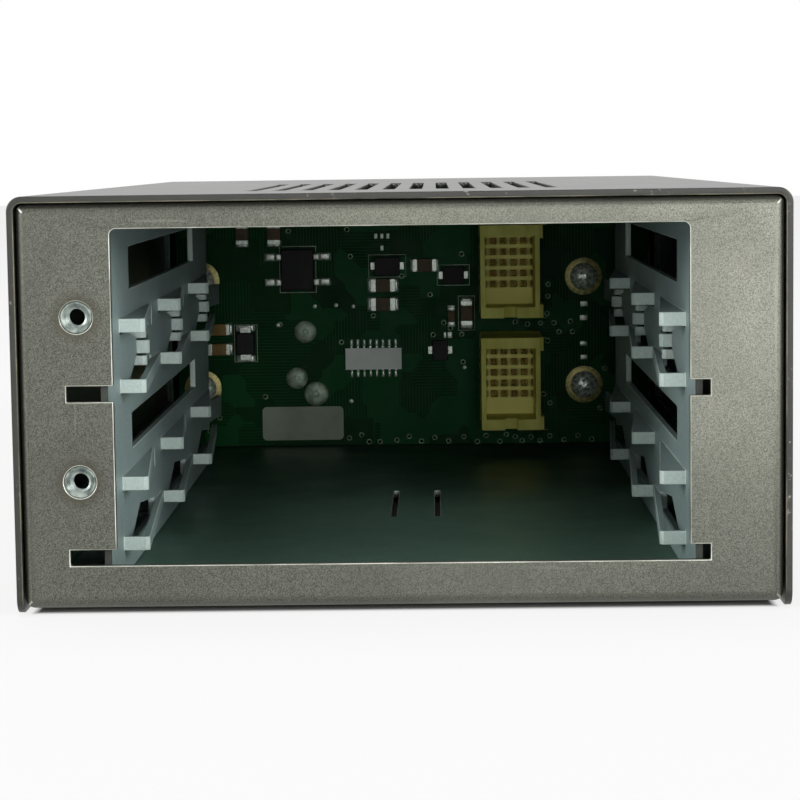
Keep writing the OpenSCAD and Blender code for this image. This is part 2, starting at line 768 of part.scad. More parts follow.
// A bent lead that leaves a body at half its height and lies flat on the board.
// s is its reach, its width and its thickness; it runs towards +X from the body's side
module gull_lead(s, body_h) {
    knee = s[0] * 0.3;
    toe = s[0] * 0.5;
    mid = body_h / 2;
    translate([0, 0, -s[1] / 2]) linear_extrude(s[1])
        polygon([[0, -mid], [knee, -mid], [toe, -s[2]], [s[0], -s[2]], [s[0], 0],
            [toe - s[2], 0], [knee - s[2], s[2] - mid], [0, s[2] - mid]]);
}

module bridge_rectifier() {
    color([0.06, 0.06, 0.06]) from_front() on_board(on_face(bridge_shares), bridge_size);
}

module bridge_rectifier_leads() {
    p = on_face(bridge_shares);
    color([0.75, 0.77, 0.76]) from_front() translate([p[0], board_y, p[1]])
        for (side = [0, 1], z = sides) mirror([side, 0, 0])
            translate([bridge_size[0] / 2, 0, z * bridge_lead_pitch / 2])
                gull_lead(bridge_lead, bridge_size[2]);
}

module protection_diode() {
    color([0.06, 0.06, 0.06]) from_front() on_board(on_face(diode_shares), diode_size);
}

module protection_diode_ends() {
    color([0.75, 0.77, 0.76]) from_front() for (end = sides)
        on_board(on_face(diode_shares) + [0, end * (diode_size[1] + diode_end[1]) / 2], diode_end);
}

module logic_ic() { color([0.05, 0.05, 0.05]) from_front() on_board(on_face(ic_shares), ic_size); }

module logic_ic_leads() {
    p = on_face(ic_shares);
    color([0.75, 0.77, 0.76]) from_front() translate([p[0], board_y, p[1]])
        for (pin = [0 : ic_pins - 1], turn = [-90, 90])
            translate([(pin - (ic_pins - 1) / 2) * ic_pin_pitch, 0, 0]) rotate([0, turn, 0])
                translate([ic_size[1] / 2, 0, 0]) gull_lead(ic_lead, ic_size[2]);
}

module logic_ic_label() {
    p = on_face(ic_shares);
    color([0.85, 0.86, 0.86]) from_front() translate([p[0], 0, p[1]])
        along_y(board_y - ic_size[2] - label_t, label_t) square(ic_label_size, center = true);
}

module board_label() {
    low = board_z + label_low_gap;
    top = inlet_z + joint_zs[2] - joint_ds[2] / 2 - label_top_gap;
    color([0.85, 0.86, 0.86]) from_front() along_y(board_y - label_t, label_t)
        rounded([board_w * label_x_share - label_w / 2, low], [label_w, top - low], label_r);
}

module input_capacitors() {
    color([0.55, 0.45, 0.28]) from_front() for (share = tan_shares)
        on_board(on_face(share), tan_size - [2 * tan_end, 0, 0]);
}

module input_capacitor_ends() {
    color([0.78, 0.79, 0.78]) from_front() for (share = tan_shares, end = sides)
        on_board(on_face(share) + [end * (tan_size[0] - tan_end) / 2, 0],
            [tan_end, tan_size[1], tan_size[2]]);
}

module chip_parts() {
    color([0.42, 0.34, 0.26]) from_front() for (n = [0 : len(chip_sizes) - 1]) {
        c = chip_sizes[n];
        on_board(on_face(chip_shares[n]), [c[0] - (1 - c[4]) * 2 * c[3], c[1] - c[4] * 2 * c[3], c[2]]);
    }
}

module chip_part_ends() {
    color([0.76, 0.78, 0.76]) from_front() for (n = [0 : len(chip_sizes) - 1], end = sides) {
        c = chip_sizes[n];
        off = [end * (1 - c[4]) * (c[0] - c[3]) / 2, end * c[4] * (c[1] - c[3]) / 2];
        on_board(on_face(chip_shares[n]) + off,
            [c[4] > 0 ? c[0] : c[3], c[4] > 0 ? c[3] : c[1], c[2]]);
    }
}

module voltage_regulator() {
    color([0.07, 0.07, 0.07]) from_front() for (n = [0 : len(regulator_shares) - 1])
        on_board(on_face(regulator_shares[n]), regulator_sizes[n]);
}

module voltage_regulator_leads() {
    color([0.75, 0.77, 0.76]) from_front() for (n = [0 : len(regulator_shares) - 1], end = sides)
        on_board(on_face(regulator_shares[n])
            + [end * (regulator_sizes[n][0] + regulator_lead[0]) / 2, 0], regulator_lead);
}

base_pan();
cover();
cover_screws();
left_guide_frame();
right_guide_frame();
guide_frame_rivets();
faceplate_nuts();
backplane_board();
backplane_standoffs();
backplane_screws();
upper_slot_connector();
lower_slot_connector();
upper_connector_contacts();
lower_connector_contacts();
dc_inlet_housing();
dc_inlet_pin();
dc_inlet_terminals();
bridge_rectifier();
bridge_rectifier_leads();
protection_diode();
protection_diode_ends();
logic_ic();
logic_ic_leads();
logic_ic_label();
board_label();
input_capacitors();
input_capacitor_ends();
chip_parts();
chip_part_ends();
voltage_regulator();
voltage_regulator_leads();
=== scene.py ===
"""Looks of a two-slot media converter chassis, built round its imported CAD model.

Lengths in the dataclasses are in millimetres unless a docstring says otherwise: x to the right
of the middle, y behind the front panel's face, z above the surface that the chassis stands on.
"""

from __future__ import annotations

import json
import logging
import math
from dataclasses import dataclass
from enum import Enum
from typing import Callable, Sequence

import bmesh
import bpy
from mathutils import Euler, Matrix, Vector

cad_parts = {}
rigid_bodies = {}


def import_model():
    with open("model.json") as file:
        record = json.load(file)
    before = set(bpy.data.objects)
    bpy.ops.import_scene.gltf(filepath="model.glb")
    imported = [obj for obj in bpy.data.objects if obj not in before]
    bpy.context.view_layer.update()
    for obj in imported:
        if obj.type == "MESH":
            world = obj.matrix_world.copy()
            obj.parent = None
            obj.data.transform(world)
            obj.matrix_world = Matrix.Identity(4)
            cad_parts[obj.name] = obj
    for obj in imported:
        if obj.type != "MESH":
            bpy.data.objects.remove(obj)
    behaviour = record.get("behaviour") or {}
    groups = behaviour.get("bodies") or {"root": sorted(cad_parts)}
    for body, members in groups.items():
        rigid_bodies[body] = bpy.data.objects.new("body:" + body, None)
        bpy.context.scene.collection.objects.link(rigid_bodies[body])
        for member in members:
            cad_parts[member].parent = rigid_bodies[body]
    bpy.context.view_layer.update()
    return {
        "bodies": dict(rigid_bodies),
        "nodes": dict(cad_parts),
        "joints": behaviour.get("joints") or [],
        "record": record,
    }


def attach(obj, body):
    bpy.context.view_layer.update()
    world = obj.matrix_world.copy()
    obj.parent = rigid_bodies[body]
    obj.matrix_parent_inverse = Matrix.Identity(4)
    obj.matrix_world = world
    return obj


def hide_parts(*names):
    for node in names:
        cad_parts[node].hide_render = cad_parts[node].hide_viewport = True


MM = 0.001
BODY = "root"
CASE_DEPTH = 190.5
BOARD_FACE = 174.5
FLOOR_TOP = 1.9
# Between these depths the end panels' finish gives way to that of the inner sides, with its
# painted reflection and painted shade
FRONT_INNER = (1.3, 2.5)
REAR_INNER = (CASE_DEPTH - 1.4, CASE_DEPTH - 1.3)
NUT_PLACES = ((-42.65, 17.704), (-42.65, 39.544))
# Top rows of the two connectors' contacts, and the step to the next row
CONTACT_TOPS = (43.238, 21.398)
CONTACT_STEP = 2.129
# A face looks along an axis when its normal's share of it is above this
ALONG = 0.9
# Welding distances in metres, and the angles at which faces are level, bevelled or smooth
TOUCH, WELD = 1e-7, 2e-6
LEVEL, SHARP, SMOOTH = math.radians(0.3), math.radians(30), math.radians(50)
FRAME: dict = {}

log = logging.getLogger("chassis")

Piece = bpy.types.Object
Material = bpy.types.Material
Socket = bpy.types.NodeSocket
Pair = tuple[float, float]
Triple = tuple[float, float, float]
Quad = tuple[float, float, float, float]


def at(x: float, y: float, z: float) -> Vector:
    """Gives a place in the row frame, in metres, from one in millimetres."""
    return Vector((x, y - CASE_DEPTH / 2, z)) * MM


def back(y: float) -> float:
    """Gives the frame's y, in metres, of a depth behind the front panel's face in millimetres."""
    return at(0, y, 0).y


def tone(red: int, green: int, blue: int) -> Quad:
    """Turns a display colour, each channel from 0 to 255, into a shader's linear colour."""
    shares = (value / 255 for value in (red, green, blue))
    return (*(v / 12.92 if v <= 0.04045 else ((v + 0.055) / 1.055) ** 2.4 for v in shares), 1.0)


class Facing(Enum):
    """Where the end of a turned piece points, as a turn of its +Z axis."""

    FRONT = (math.radians(90), 0.0, 0.0)
    REAR = (math.radians(-90), 0.0, 0.0)
    UP = (0.0, 0.0, 0.0)

    def matrix(self) -> Matrix:
        """Gives the turn as a matrix."""
        return Euler(self.value).to_matrix().to_4x4()


# The moves that shape every new piece, each by Blender's own operators


def clear() -> None:
    """Leaves edit mode and deselects everything."""
    active = bpy.context.view_layer.objects.active
    if active is not None and active.mode != "OBJECT":
        bpy.ops.object.mode_set(mode="OBJECT")
    bpy.ops.object.select_all(action="DESELECT")


def pick(piece: Piece) -> None:
    """Makes a piece the only selected one, out of edit mode.

    Args:
        piece: The piece.
    """
    clear()
    bpy.context.view_layer.objects.active = piece
    piece.select_set(True)


def edit(piece: Piece) -> None:
    """Opens a piece in edit mode with all of it selected.

    Args:
        piece: The piece.
    """
    pick(piece)
    bpy.ops.object.mode_set(mode="EDIT")
    bpy.ops.mesh.select_all(action="SELECT")


def choose(piece: Piece, test: Callable[[Vector, Vector], bool]) -> None:
    """Selects faces of a piece that is in edit mode.

    Args:
        piece: The piece in edit mode.
        test: Takes a face's middle and normal and says whether to select it.
    """
    bpy.ops.mesh.select_mode(type="FACE")
    bpy.ops.mesh.select_all(action="DESELECT")
    mesh = bmesh.from_edit_mesh(piece.data)
    for face in mesh.faces:
        if test(face.calc_center_median(), face.normal):
            face.select_set(True)
    mesh.select_flush_mode()
    bmesh.update_edit_mesh(piece.data)


def settle(piece: Piece, place: Vector, facing: Facing = Facing.UP, turn: float = 0.0) -> Piece:
    """Turns and moves a piece that was built round the origin, and applies it to the mesh.

    Args:
        piece: The piece.
        place: Where its origin goes, in metres.
        facing: Where its +Z axis points afterwards.
        turn: Turn about its own axis beforehand, in degrees.

    Returns:
        The piece.
    """
    pick(piece)
    spin = Matrix.Rotation(math.radians(turn), 4, "Z")
    piece.matrix_world = Matrix.Translation(place) @ facing.matrix() @ spin
    bpy.ops.object.transform_apply(location=True, rotation=True, scale=True)
    return piece


def on_board(piece: Piece, x: float, z: float) -> Piece:
    """Sets a piece that was built round the origin on the board's face."""
    return settle(piece, at(x, BOARD_FACE, z), Facing.FRONT)


def started(name: str, scale: Sequence[float] = (1, 1, 1)) -> Piece:
    """Names the new primitive, applies its place and scale to its mesh and opens it.

    Args:
        name: The piece's name.
        scale: Factor on each axis.

    Returns:
        The piece, in edit mode.
    """
    piece = bpy.context.object
    piece.name, piece.scale = name, scale
    bpy.ops.object.transform_apply(location=True, rotation=True, scale=True)
    edit(piece)
    return piece


def outwards() -> None:
    """Merges the doubles of the piece in edit mode and turns its faces outwards."""
    bpy.ops.mesh.select_all(action="SELECT")
    bpy.ops.mesh.remove_doubles(threshold=TOUCH)
    bpy.ops.mesh.normals_make_consistent(inside=False)


def close(piece: Piece, angle: float = 35.0) -> Piece:
    """Merges doubles, turns the normals outwards and smooths gentle edges.

    Args:
        piece: The piece.
        angle: Edges that turn by less than this many degrees look smooth.

    Returns:
        The piece.
    """
    edit(piece)
    outwards()
    pick(piece)
    bpy.ops.object.shade_smooth_by_angle(angle=math.radians(angle))
    return piece


def turned(name: str, profile: Sequence[Pair], sides: int = 32) -> Piece:
    """Makes a turned piece about +Z: a disc, extruded and scaled along its profile.

    Args:
        name: The piece's name.
        profile: Radius and height of each step, from one end to the other.
        sides: Number of sides round the axis.

    Returns:
        The piece, closed at both ends.
    """
    clear()
    radius, low = profile[0]
    bpy.ops.mesh.primitive_circle_add(vertices=sides, radius=radius * MM, fill_type="NGON",
                                      location=(0, 0, low * MM))
    piece = started(name)
    for r, height in profile[1:]:
        bpy.ops.mesh.extrude_region_move(TRANSFORM_OT_translate={"value": (0, 0, (height - low) * MM)})
        if r == 0:
            bpy.ops.mesh.merge(type="CENTER")
            break
        bpy.ops.transform.resize(value=(r / radius, r / radius, 1), center_override=(0, 0, height * MM))
        radius, low = r, height
    return close(piece)


def block(name: str, size: Triple, rim: float, top: Pair = (1.0, 1.0)) -> Piece:
    """Makes a block that stands on the origin's plane, with bevelled edges.

    Args:
        name: The piece's name.
        size: Width, height and thickness; the thickness lies along +Z.
        rim: Width of the bevels.
        top: Factors on the width and height of its top face.

    Returns:
        The piece.
    """
    clear()
    bpy.ops.mesh.primitive_cube_add(size=1, location=(0, 0, size[2] * MM / 2))
    piece = started(name, Vector(size) * MM)
    if top != (1.0, 1.0):
        choose(piece, lambda middle, normal: normal.z > ALONG)
        bpy.ops.transform.resize(value=(top[0], top[1], 1), center_override=(0, 0, 0))
        bpy.ops.mesh.select_all(action="SELECT")
    if rim > 0:
        bpy.ops.mesh.bevel(offset=rim * MM, segments=2, affect="EDGES", clamp_overlap=True)
    return close(piece)


def ring_mark(name: str, size: Pair, line: float, high: float) -> Piece:
    """Makes a thin rectangular outline that stands on the origin's plane.

    Args:
        name: The piece's name.
        size: Outer width and height.
        line: Width of the line.
        high: Thickness of the print.

    Returns:
        The piece.
    """
    clear()
    bpy.ops.mesh.primitive_plane_add(size=1, location=(0, 0, 0))
    piece = started(name, Vector((*size, 1)) * MM)
    bpy.ops.mesh.inset(thickness=line * MM, depth=0)
    bpy.ops.mesh.delete(type="FACE")
    bpy.ops.mesh.select_all(action="SELECT")
    bpy.ops.mesh.extrude_region_move(TRANSFORM_OT_translate={"value": (0, 0, high * MM)})
    return close(piece)


def repeat(piece: Piece, places: Sequence[tuple[Vector, float]], facing: Facing, name: str) -> Piece:
    """Copies a piece to each place, joins the copies and removes the first.

    Args:
        piece: The piece, built round the origin.
        places: Each place in metres, and the turn there in degrees.
        facing: Where its +Z axis points.
        name: Name of the joined piece.

    Returns:
        The joined piece.
    """
    copies = []
    for place, turn in places:
        pick(piece)
        bpy.ops.object.duplicate(linked=False)
        copies.append(settle(bpy.context.object, place, facing, turn))
    bpy.data.objects.remove(piece, do_unlink=True)
    return join(copies, name)


def join(parts: Sequence[Piece], name: str) -> Piece:
    """Joins pieces into one.

    Args:
        parts: The pieces.
        name: Name of the joined piece.

    Returns:
        The joined piece.
    """
    pick(parts[0])
    for part in parts:
        part.select_set(True)
    bpy.ops.object.join()
    parts[0].name = name
    return parts[0]


def apply(piece: Piece, kind: str, **settings: object) -> None:
    """Adds a modifier with its settings and applies it.

    Args:
        piece: The piece.
        kind: Blender's name of the modifier type.
        **settings: The modifier's settings.
    """
    pick(piece)
    modifier = piece.modifiers.new(kind.title(), kind)
    for key, value in settings.items():
        setattr(modifier, key, value)
    bpy.ops.object.modifier_apply(modifier=modifier.name)


def from_node(node: str, name: str, rim: float, segments: int = 2, merge: bool = True) -> Piece:
    """Copies a CAD node, merges its loose triangles and bevels its sharp edges.

    Args:
        node: The CAD node.
        name: The new piece's name.
        rim: Width of the bevels.
        segments: Steps in each bevel.
        merge: Whether flat faces become one; not for faces with many holes.

    Returns:
        The piece.
    """
    pick(FRAME["nodes"][node])
    bpy.ops.object.duplicate(linked=False)
    piece = bpy.context.object
    piece.name = name
    bpy.ops.object.parent_clear(type="CLEAR_KEEP_TRANSFORM")
    piece.data.materials.clear()
    piece.data.materials.append(None)
    piece.data.materials.append(None)
    edit(piece)
    bpy.ops.mesh.remove_doubles(threshold=WELD)
    if merge:
        bpy.ops.mesh.dissolve_limited(angle_limit=LEVEL)
    bpy.ops.mesh.select_all(action="SELECT")
    bpy.ops.mesh.faces_shade_flat()
    apply(piece, "BEVEL", width=rim * MM, segments=segments, limit_method="ANGLE",
          angle_limit=SHARP, use_clamp_overlap=False, material=1, loop_slide=merge)
    bpy.ops.object.shade_smooth_by_angle(angle=SMOOTH)
    apply(piece, "WEIGHTED_NORMAL", mode="FACE_AREA", weight=90, keep_sharp=True)
    return piece


class Web:
    """The node tree of one finish, read in the piece's own Object coordinates."""

    def __init__(self, name: str) -> None:
        """Starts a material whose shader and coordinates are at hand.

        Args:
            name: The finish's name.
        """
        self.material = bpy.data.materials.new(f"{name}_finish")
        self.material.use_nodes = True
        self.tree = self.material.node_tree
        self.shader = self.tree.nodes["Principled BSDF"]
        self.place = self.add("TexCoord").outputs["Object"]

    def add(self, kind: str, values: dict | None = None, **settings: object) -> bpy.types.Node:
        """Adds a node.

        Args:
            kind: Blender's name of the node type, without ShaderNode at its start.
            values: What goes into each input, by the input's name or number.
            **settings: The node's own settings.

        Returns:
            The node.
        """
        node = self.tree.nodes.new(f"ShaderNode{kind}")
        for key, value in settings.items():
            setattr(node, key, value)
        for key, value in (values or {}).items():
            self.link(value, node.inputs[key])
        return node

    def link(self, value: object, socket: Socket) -> None:
        """Sets a socket to a number or colour, or links another socket to it.

        Args:
            value: The number, colour or other socket.
            socket: The socket.
        """
        if isinstance(value, Socket):
            self.tree.links.new(value, socket)
        else:
            socket.default_value = value

    def shift(self, scale: Triple, turn: Triple = (0, 0, 0)) -> Socket:
        """Gives the coordinates, stretched by a factor and turned by degrees on each axis."""
        values = {"Vector": self.place, "Scale": scale, "Rotation": [math.radians(a) for a in turn]}
        return self.add("Mapping", values).outputs[0]

    def noise(self, size: float, detail: float = 2.0, rough: float = 0.5,
              vector: Socket | None = None) -> Socket:
        """Gives a noise from 0 to 1, with features of a size in millimetres."""
        values = {"Vector": vector or self.place, "Scale": 1 / (size * MM), "Detail": detail,
                  "Roughness": rough}
        return self.add("TexNoise", values).outputs["Fac"]

    def cells(self, size: float, metric: str = "EUCLIDEAN") -> Socket:
        """Gives the random colours of cells of a size in millimetres."""
        values = {"Vector": self.place, "Scale": 1 / (size * MM)}
        return self.add("TexVoronoi", values, distance=metric).outputs["Color"]

    def span(self, value: object, low: float, high: float, to_low: float = 0.0,
             to_high: float = 1.0) -> Socket:
        """Maps a range of a value to another range, and clamps it."""
        ends = {"From Min": low, "From Max": high, "To Min": to_low, "To Max": to_high}
        return self.add("MapRange", {"Value": value, **ends}, clamp=True).outputs["Result"]

    def calc(self, kind: str, first: object, second: object = 0.0) -> Socket:
        """Gives the result of a Math node of that kind."""
        return self.add("Math", {0: first, 1: second}, operation=kind).outputs[0]

    def times(self, first: object, second: object) -> Socket:
        """Gives the product of two values."""
        return self.calc("MULTIPLY", first, second)

    def axis(self, name: str) -> Socket:
        """Gives one coordinate, in metres."""
        return self.add("SeparateXYZ", {0: self.place}).outputs[name]

    def from_line(self, x: float, z: float) -> Socket:
        """Gives the distance in metres from a line along Y at x and z in millimetres."""
        flat = self.add("VectorMath", {0: self.place, 1: (1, 0, 1), 2: (-x * MM, 0, -z * MM)},
                        operation="MULTIPLY_ADD")
        return self.add("VectorMath", {0: flat.outputs[0]}, operation="LENGTH").outputs["Value"]

    def mix(self, share: object, first: object, second: object, kind: str = "MIX") -> Socket:
        """Mixes two colours."""
        values = {"Factor": share, 6: first, 7: second}
        return self.add("Mix", values, data_type="RGBA", blend_type=kind).outputs[2]

    def scaled(self, colour: object, factor: object) -> Socket:
        """Gives a colour times a factor."""
        return self.add("VectorMath", {0: colour, "Scale": factor}, operation="SCALE").outputs[0]

    def bump(self, height: object, depth: float, strength: float = 1.0,
             below: Socket | None = None) -> Socket:
        """Gives a normal from a height.

        Args:
            height: The height from 0 to 1.
            depth: Depth of a height of 1 in millimetres.
            strength: How much of it shows.
            below: Another bump's normal.

        Returns:
            The normal socket.
        """
        node = self.add("Bump", {"Height": height, "Strength": strength, "Distance": depth * MM})
        if below is not None:
            self.link(below, node.inputs["Normal"])
        return node.outputs["Normal"]

    def end(self, colour: object, rough: object, metal: float, normal: Socket, **more: float) -> Material:
        """Links the finished values to the shader.

        Args:
            colour: Base colour.
            rough: Roughness.
            metal: Metallic share.
            normal: Normal.
            **more: Values of other sockets, with _ for a space in their names.

        Returns:
            The material.
        """
        values = {"Base Color": colour, "Roughness": rough, "Metallic": metal, "Normal": normal}
        values.update({key.replace("_", " "): value for key, value in more.items()})
        for key, value in values.items():
            self.link(value, self.shader.inputs[key])
        return self.material


class Sky(Web):
    """The node tree of the surroundings."""

    def __init__(self) -> None:
        """Starts the world."""
        world = bpy.data.worlds.new("studio")
        bpy.context.scene.world = world
        world.use_nodes = True
        self.tree = world.node_tree


@dataclass(frozen=True)
class Finish:
    """A surface of one kind; each kind makes its own material."""

    name: str
    light: Quad
    dark: Quad
    rough: float = 0.5
    metal: float = 0.0

    def make(self, web: Web) -> Material:
        """Stands for the method of each kind."""
        raise NotImplementedError(self.name)

    def varied(self, web: Web, pattern: Socket, less: float, more: float) -> Socket:
        """Gives the roughness, less and more by a pattern."""
        return web.span(pattern, 0.3, 0.7, self.rough - less, self.rough + more)

    def ready(self) -> Material:
        """Gives the material, made at its first use."""
        return bpy.data.materials.get(f"{self.name}_finish") or self.make(Web(self.name))


@dataclass(frozen=True)
class PlatedSheet(Finish):
    """Zinc-plated sheet: a fine sparkling grain, clouds, stains and thin scratches.

    inside multiplies the inner sides' colour with a painted greenish reflection of the board that
    also lifts their level. panel_painted_light holds the front panel's painted light at its upper
    left, at its upper right and below, a painted highlight to the right and painted shade to the
    left and below, and edge what a painted highlight on the right edge adds to it. deep holds the
    painted light of the inner sides at the front and their painted shade at the board.
    """

    grain: float = 0.32
    contrast: float = 0.5
    scratches: float = 0.25
    relief: float = 0.006
    fixings: tuple[Pair, ...] = ()
    # The next four fields paint light: a greenish painted reflection on the inner sides, a painted highlight
    # and painted shade on the front panel, and painted shade deeper along the inner sides
    inside: Quad | None = None
    panel_painted_light: Triple | None = None
    edge: float = 0.0
    deep: Pair = (1.0, 1.0)
    stain: Quad = tone(70, 66, 56)
    rubbed: Quad = tone(74, 66, 50)

    def make(self, web: Web) -> Material:
        """Makes the material.

        Args:
            web: Its nodes.

        Returns:
            The material.
        """
        fine = web.noise(self.grain, 3, 0.7)
        clouds = web.noise(14.0, 3, 0.55)
        spread = 0.11 / self.contrast
        tint = web.mix(web.span(fine, 0.5 - spread, 0.5 + spread), self.dark, self.light)
        flecks = web.span(web.cells(self.grain * 2.2), 0.55, 1.0, 0, 0.22 * self.contrast)
        tint = web.mix(flecks, tint, self.light)
        tint = web.mix(web.span(clouds, 0.35, 0.7, 0, 0.3), tint, self.dark)
        tint = web.mix(web.span(web.noise(46.0, 1, 0.4), 0.4, 0.65, 0, 0.16), tint, self.light)
        stains = web.noise(6.0, 5, 0.6, web.shift((1, 1, 0.5)))
        tint = web.mix(web.span(stains, 0.62, 0.72, 0, 0.2), tint, self.stain)
        for x, z in self.fixings:
            rub = web.span(web.from_line(x, z), 2.1 * MM, 3.8 * MM, 0.65, 0.0)
            tint = web.mix(web.times(rub, web.span(fine, 0.3, 0.6, 0.6, 1.0)), tint, self.rubbed)
        # Painted reflection: the inner sides take a greenish cast of the board at a brighter level
        if self.inside is not None:
            tint = web.mix(self.within(web), tint, self.inside, "MULTIPLY")
        # Painted highlight and painted shade over the front panel and along the inner sides
        if self.panel_painted_light is not None:
            tint = web.scaled(tint, self.painted_light_factor(web, *self.panel_painted_light))
        down = web.noise(0.5, 1, 0.4, web.shift((0.03, 0.03, 1), (0, 24, 0)))
        up = web.noise(0.6, 1, 0.4, web.shift((1, 0.05, 0.02), (0, -38, 0)))
        lines = web.calc("MAXIMUM", web.span(down, 0.71, 0.74), web.span(up, 0.72, 0.75))
        lines = web.times(lines, web.span(web.noise(20.0, 2), 0.5, 0.65))
        tint = web.mix(web.times(lines, self.scratches), tint, self.light)
        rough = web.calc("ADD", self.varied(web, fine, 0.07, 0.07), web.span(clouds, 0.3, 0.7, -0.04, 0.05))
        normal = web.bump(clouds, 0.05, 0.6, web.bump(fine, self.relief))
        return web.end(tint, rough, self.metal, web.bump(lines, -0.004, 0.7, normal))

    def painted_light_factor(self, web: Web, left: float, right: float, low: float) -> Socket:
        """Gives the painted light over the front panel and along the inner sides: a painted highlight
        towards the panel's upper right, painted shade towards its left and lower edge, and painted light
        near the front of the inner sides that turns to painted shade at the board.

        Args:
            web: The finish's nodes.
            left: Brightness at the panel's upper left.
            right: Brightness at its upper right.
            low: Brightness at its lower edge.

        Returns:
            The factor on the colour.
        """
        # Painted highlight to the right, strongest at the right edge, and painted shade to the left and below
        across = web.calc("ADD", web.span(web.axis("X"), -0.05, 0.04, left - low, right - low),
                          web.span(web.axis("X"), 0.03, 0.047, 0.0, self.edge))
        panel = web.calc("ADD", web.times(across, web.span(web.axis("Z"), 0.005, 0.045)), low - 1)
        # Painted light near the front of the inner sides, turning to painted shade at the board
        sides = web.calc("SUBTRACT", web.span(web.axis("Y"), back(8), back(BOARD_FACE), *self.deep), 1.0)
        ahead = web.span(web.axis("Y"), *map(back, FRONT_INNER), 1.0, 0.0)
        change = web.calc("ADD", web.times(panel, ahead), web.times(sides, self.within(web)))
        return web.calc("ADD", change, 1.0)

    @staticmethod
    def within(web: Web) -> Socket:
        """Gives 1 on the inner sides, and 0 on both end panels' faces and the underside.

        Args:
            web: The finish's nodes.

        Returns:
            The share of the inner sides' looks.
        """
        front = web.span(web.axis("Y"), *map(back, FRONT_INNER))
        rear = web.span(web.axis("Y"), *map(back, REAR_INNER), 1.0, 0.0)
        above = web.span(web.axis("Z"), (FLOOR_TOP - 0.6) * MM, (FLOOR_TOP - 0.3) * MM)
        return web.times(web.times(front, rear), above)


@dataclass(frozen=True)
class CutEdge(Finish):
    """Sheared or rubbed bare metal with fine marks across the edge."""

    def make(self, web: Web) -> Material:
        """Makes the material.

        Args:
            web: Its nodes.

        Returns:
            The material.
        """
        fine = web.noise(0.25, 2, 0.6)
        broad = web.noise(7.0, 3, 0.6)
        tint = web.mix(web.span(broad, 0.35, 0.62), self.dark, self.light)
        tint = web.mix(web.span(fine, 0.3, 0.75, 0, 0.45), tint, self.dark)
        return web.end(tint, self.varied(web, fine, 0.08, 0.1), self.metal, web.bump(fine, 0.006))


@dataclass(frozen=True)
class TexturedPaint(Finish):
    """Baked paint with a fine orange-peel texture, dust and rubbed spots."""

    bare: Quad = tone(168, 164, 148)
    wear: float = 0.0

    def make(self, web: Web) -> Material:
        """Makes the material.

        Args:
            web: Its nodes.

        Returns:
            The material.
        """
        peel = web.noise(0.55, 2, 0.45)
        fine = web.noise(0.16, 2, 0.6)
        dust = web.noise(9.0, 4, 0.6)
        tint = web.mix(web.span(dust, 0.35, 0.75), self.dark, self.light)
        tint = web.mix(web.span(fine, 0.45, 0.8, 0, 0.35), tint, self.light)
        rubbed = web.span(web.noise(12.0, 2), 0.5, 0.62)
        chips = web.times(web.span(web.noise(0.9, 4, 0.7), 0.6, 0.64), rubbed)
        tint = web.mix(web.times(chips, self.wear), tint, self.bare)
        normal = web.bump(fine, 0.003, 0.6, web.bump(peel, 0.011))
        return web.end(tint, self.varied(web, dust, 0.015, 0.03), self.metal, normal)


@dataclass(frozen=True)
class SolderMask(Finish):
    """Green lacquer over copper tracks, which show as paler raised lines."""

    track: float = 0.22
    pitch: float = 0.62
    copper: Quad = tone(30, 104, 58)
    dust: Quad = tone(92, 110, 96)

    def make(self, web: Web) -> Material:
        """Makes the material.

        Args:
            web: Its nodes.

        Returns:
            The material.
        """
        # Each block of the board draws its own lot: which way its tracks run, and what covers it
        lots = web.add("SeparateColor", {0: web.cells(7.5, "CHEBYCHEV")}).outputs
        tracks = []
        for name in ("X", "Z"):
            place = web.calc("FRACT", web.times(web.axis(name), 1 / (self.pitch * MM)))
            tracks.append(web.span(place, 1 - self.track / self.pitch, 1.0, 0, 8))
        ways = {"Factor": web.span(lots[0], 0.49, 0.51), 2: tracks[0], 3: tracks[1]}
        lines = web.add("Mix", ways, data_type="FLOAT").outputs[0]
        lines = web.times(web.calc("MINIMUM", lines, 1.0), web.span(lots[1], 0.38, 0.4))
        copper = web.calc("MAXIMUM", lines, web.span(lots[2], 0.6, 0.62))
        tint = web.mix(web.noise(18.0, 3), self.dark, self.light)
        tint = web.mix(web.times(copper, 0.35), tint, self.copper)
        tint = web.mix(web.span(web.noise(0.7, 5, 0.7), 0.62, 0.74, 0, 0.15), tint, self.dust)
        normal = web.bump(copper, 0.03, 0.7, web.bump(web.noise(0.4, 2), 0.004))
        rough = self.varied(web, web.noise(3.0, 3), 0.06, 0.08)
        return web.end(tint, rough, self.metal, normal, Specular_IOR_Level=0.05)


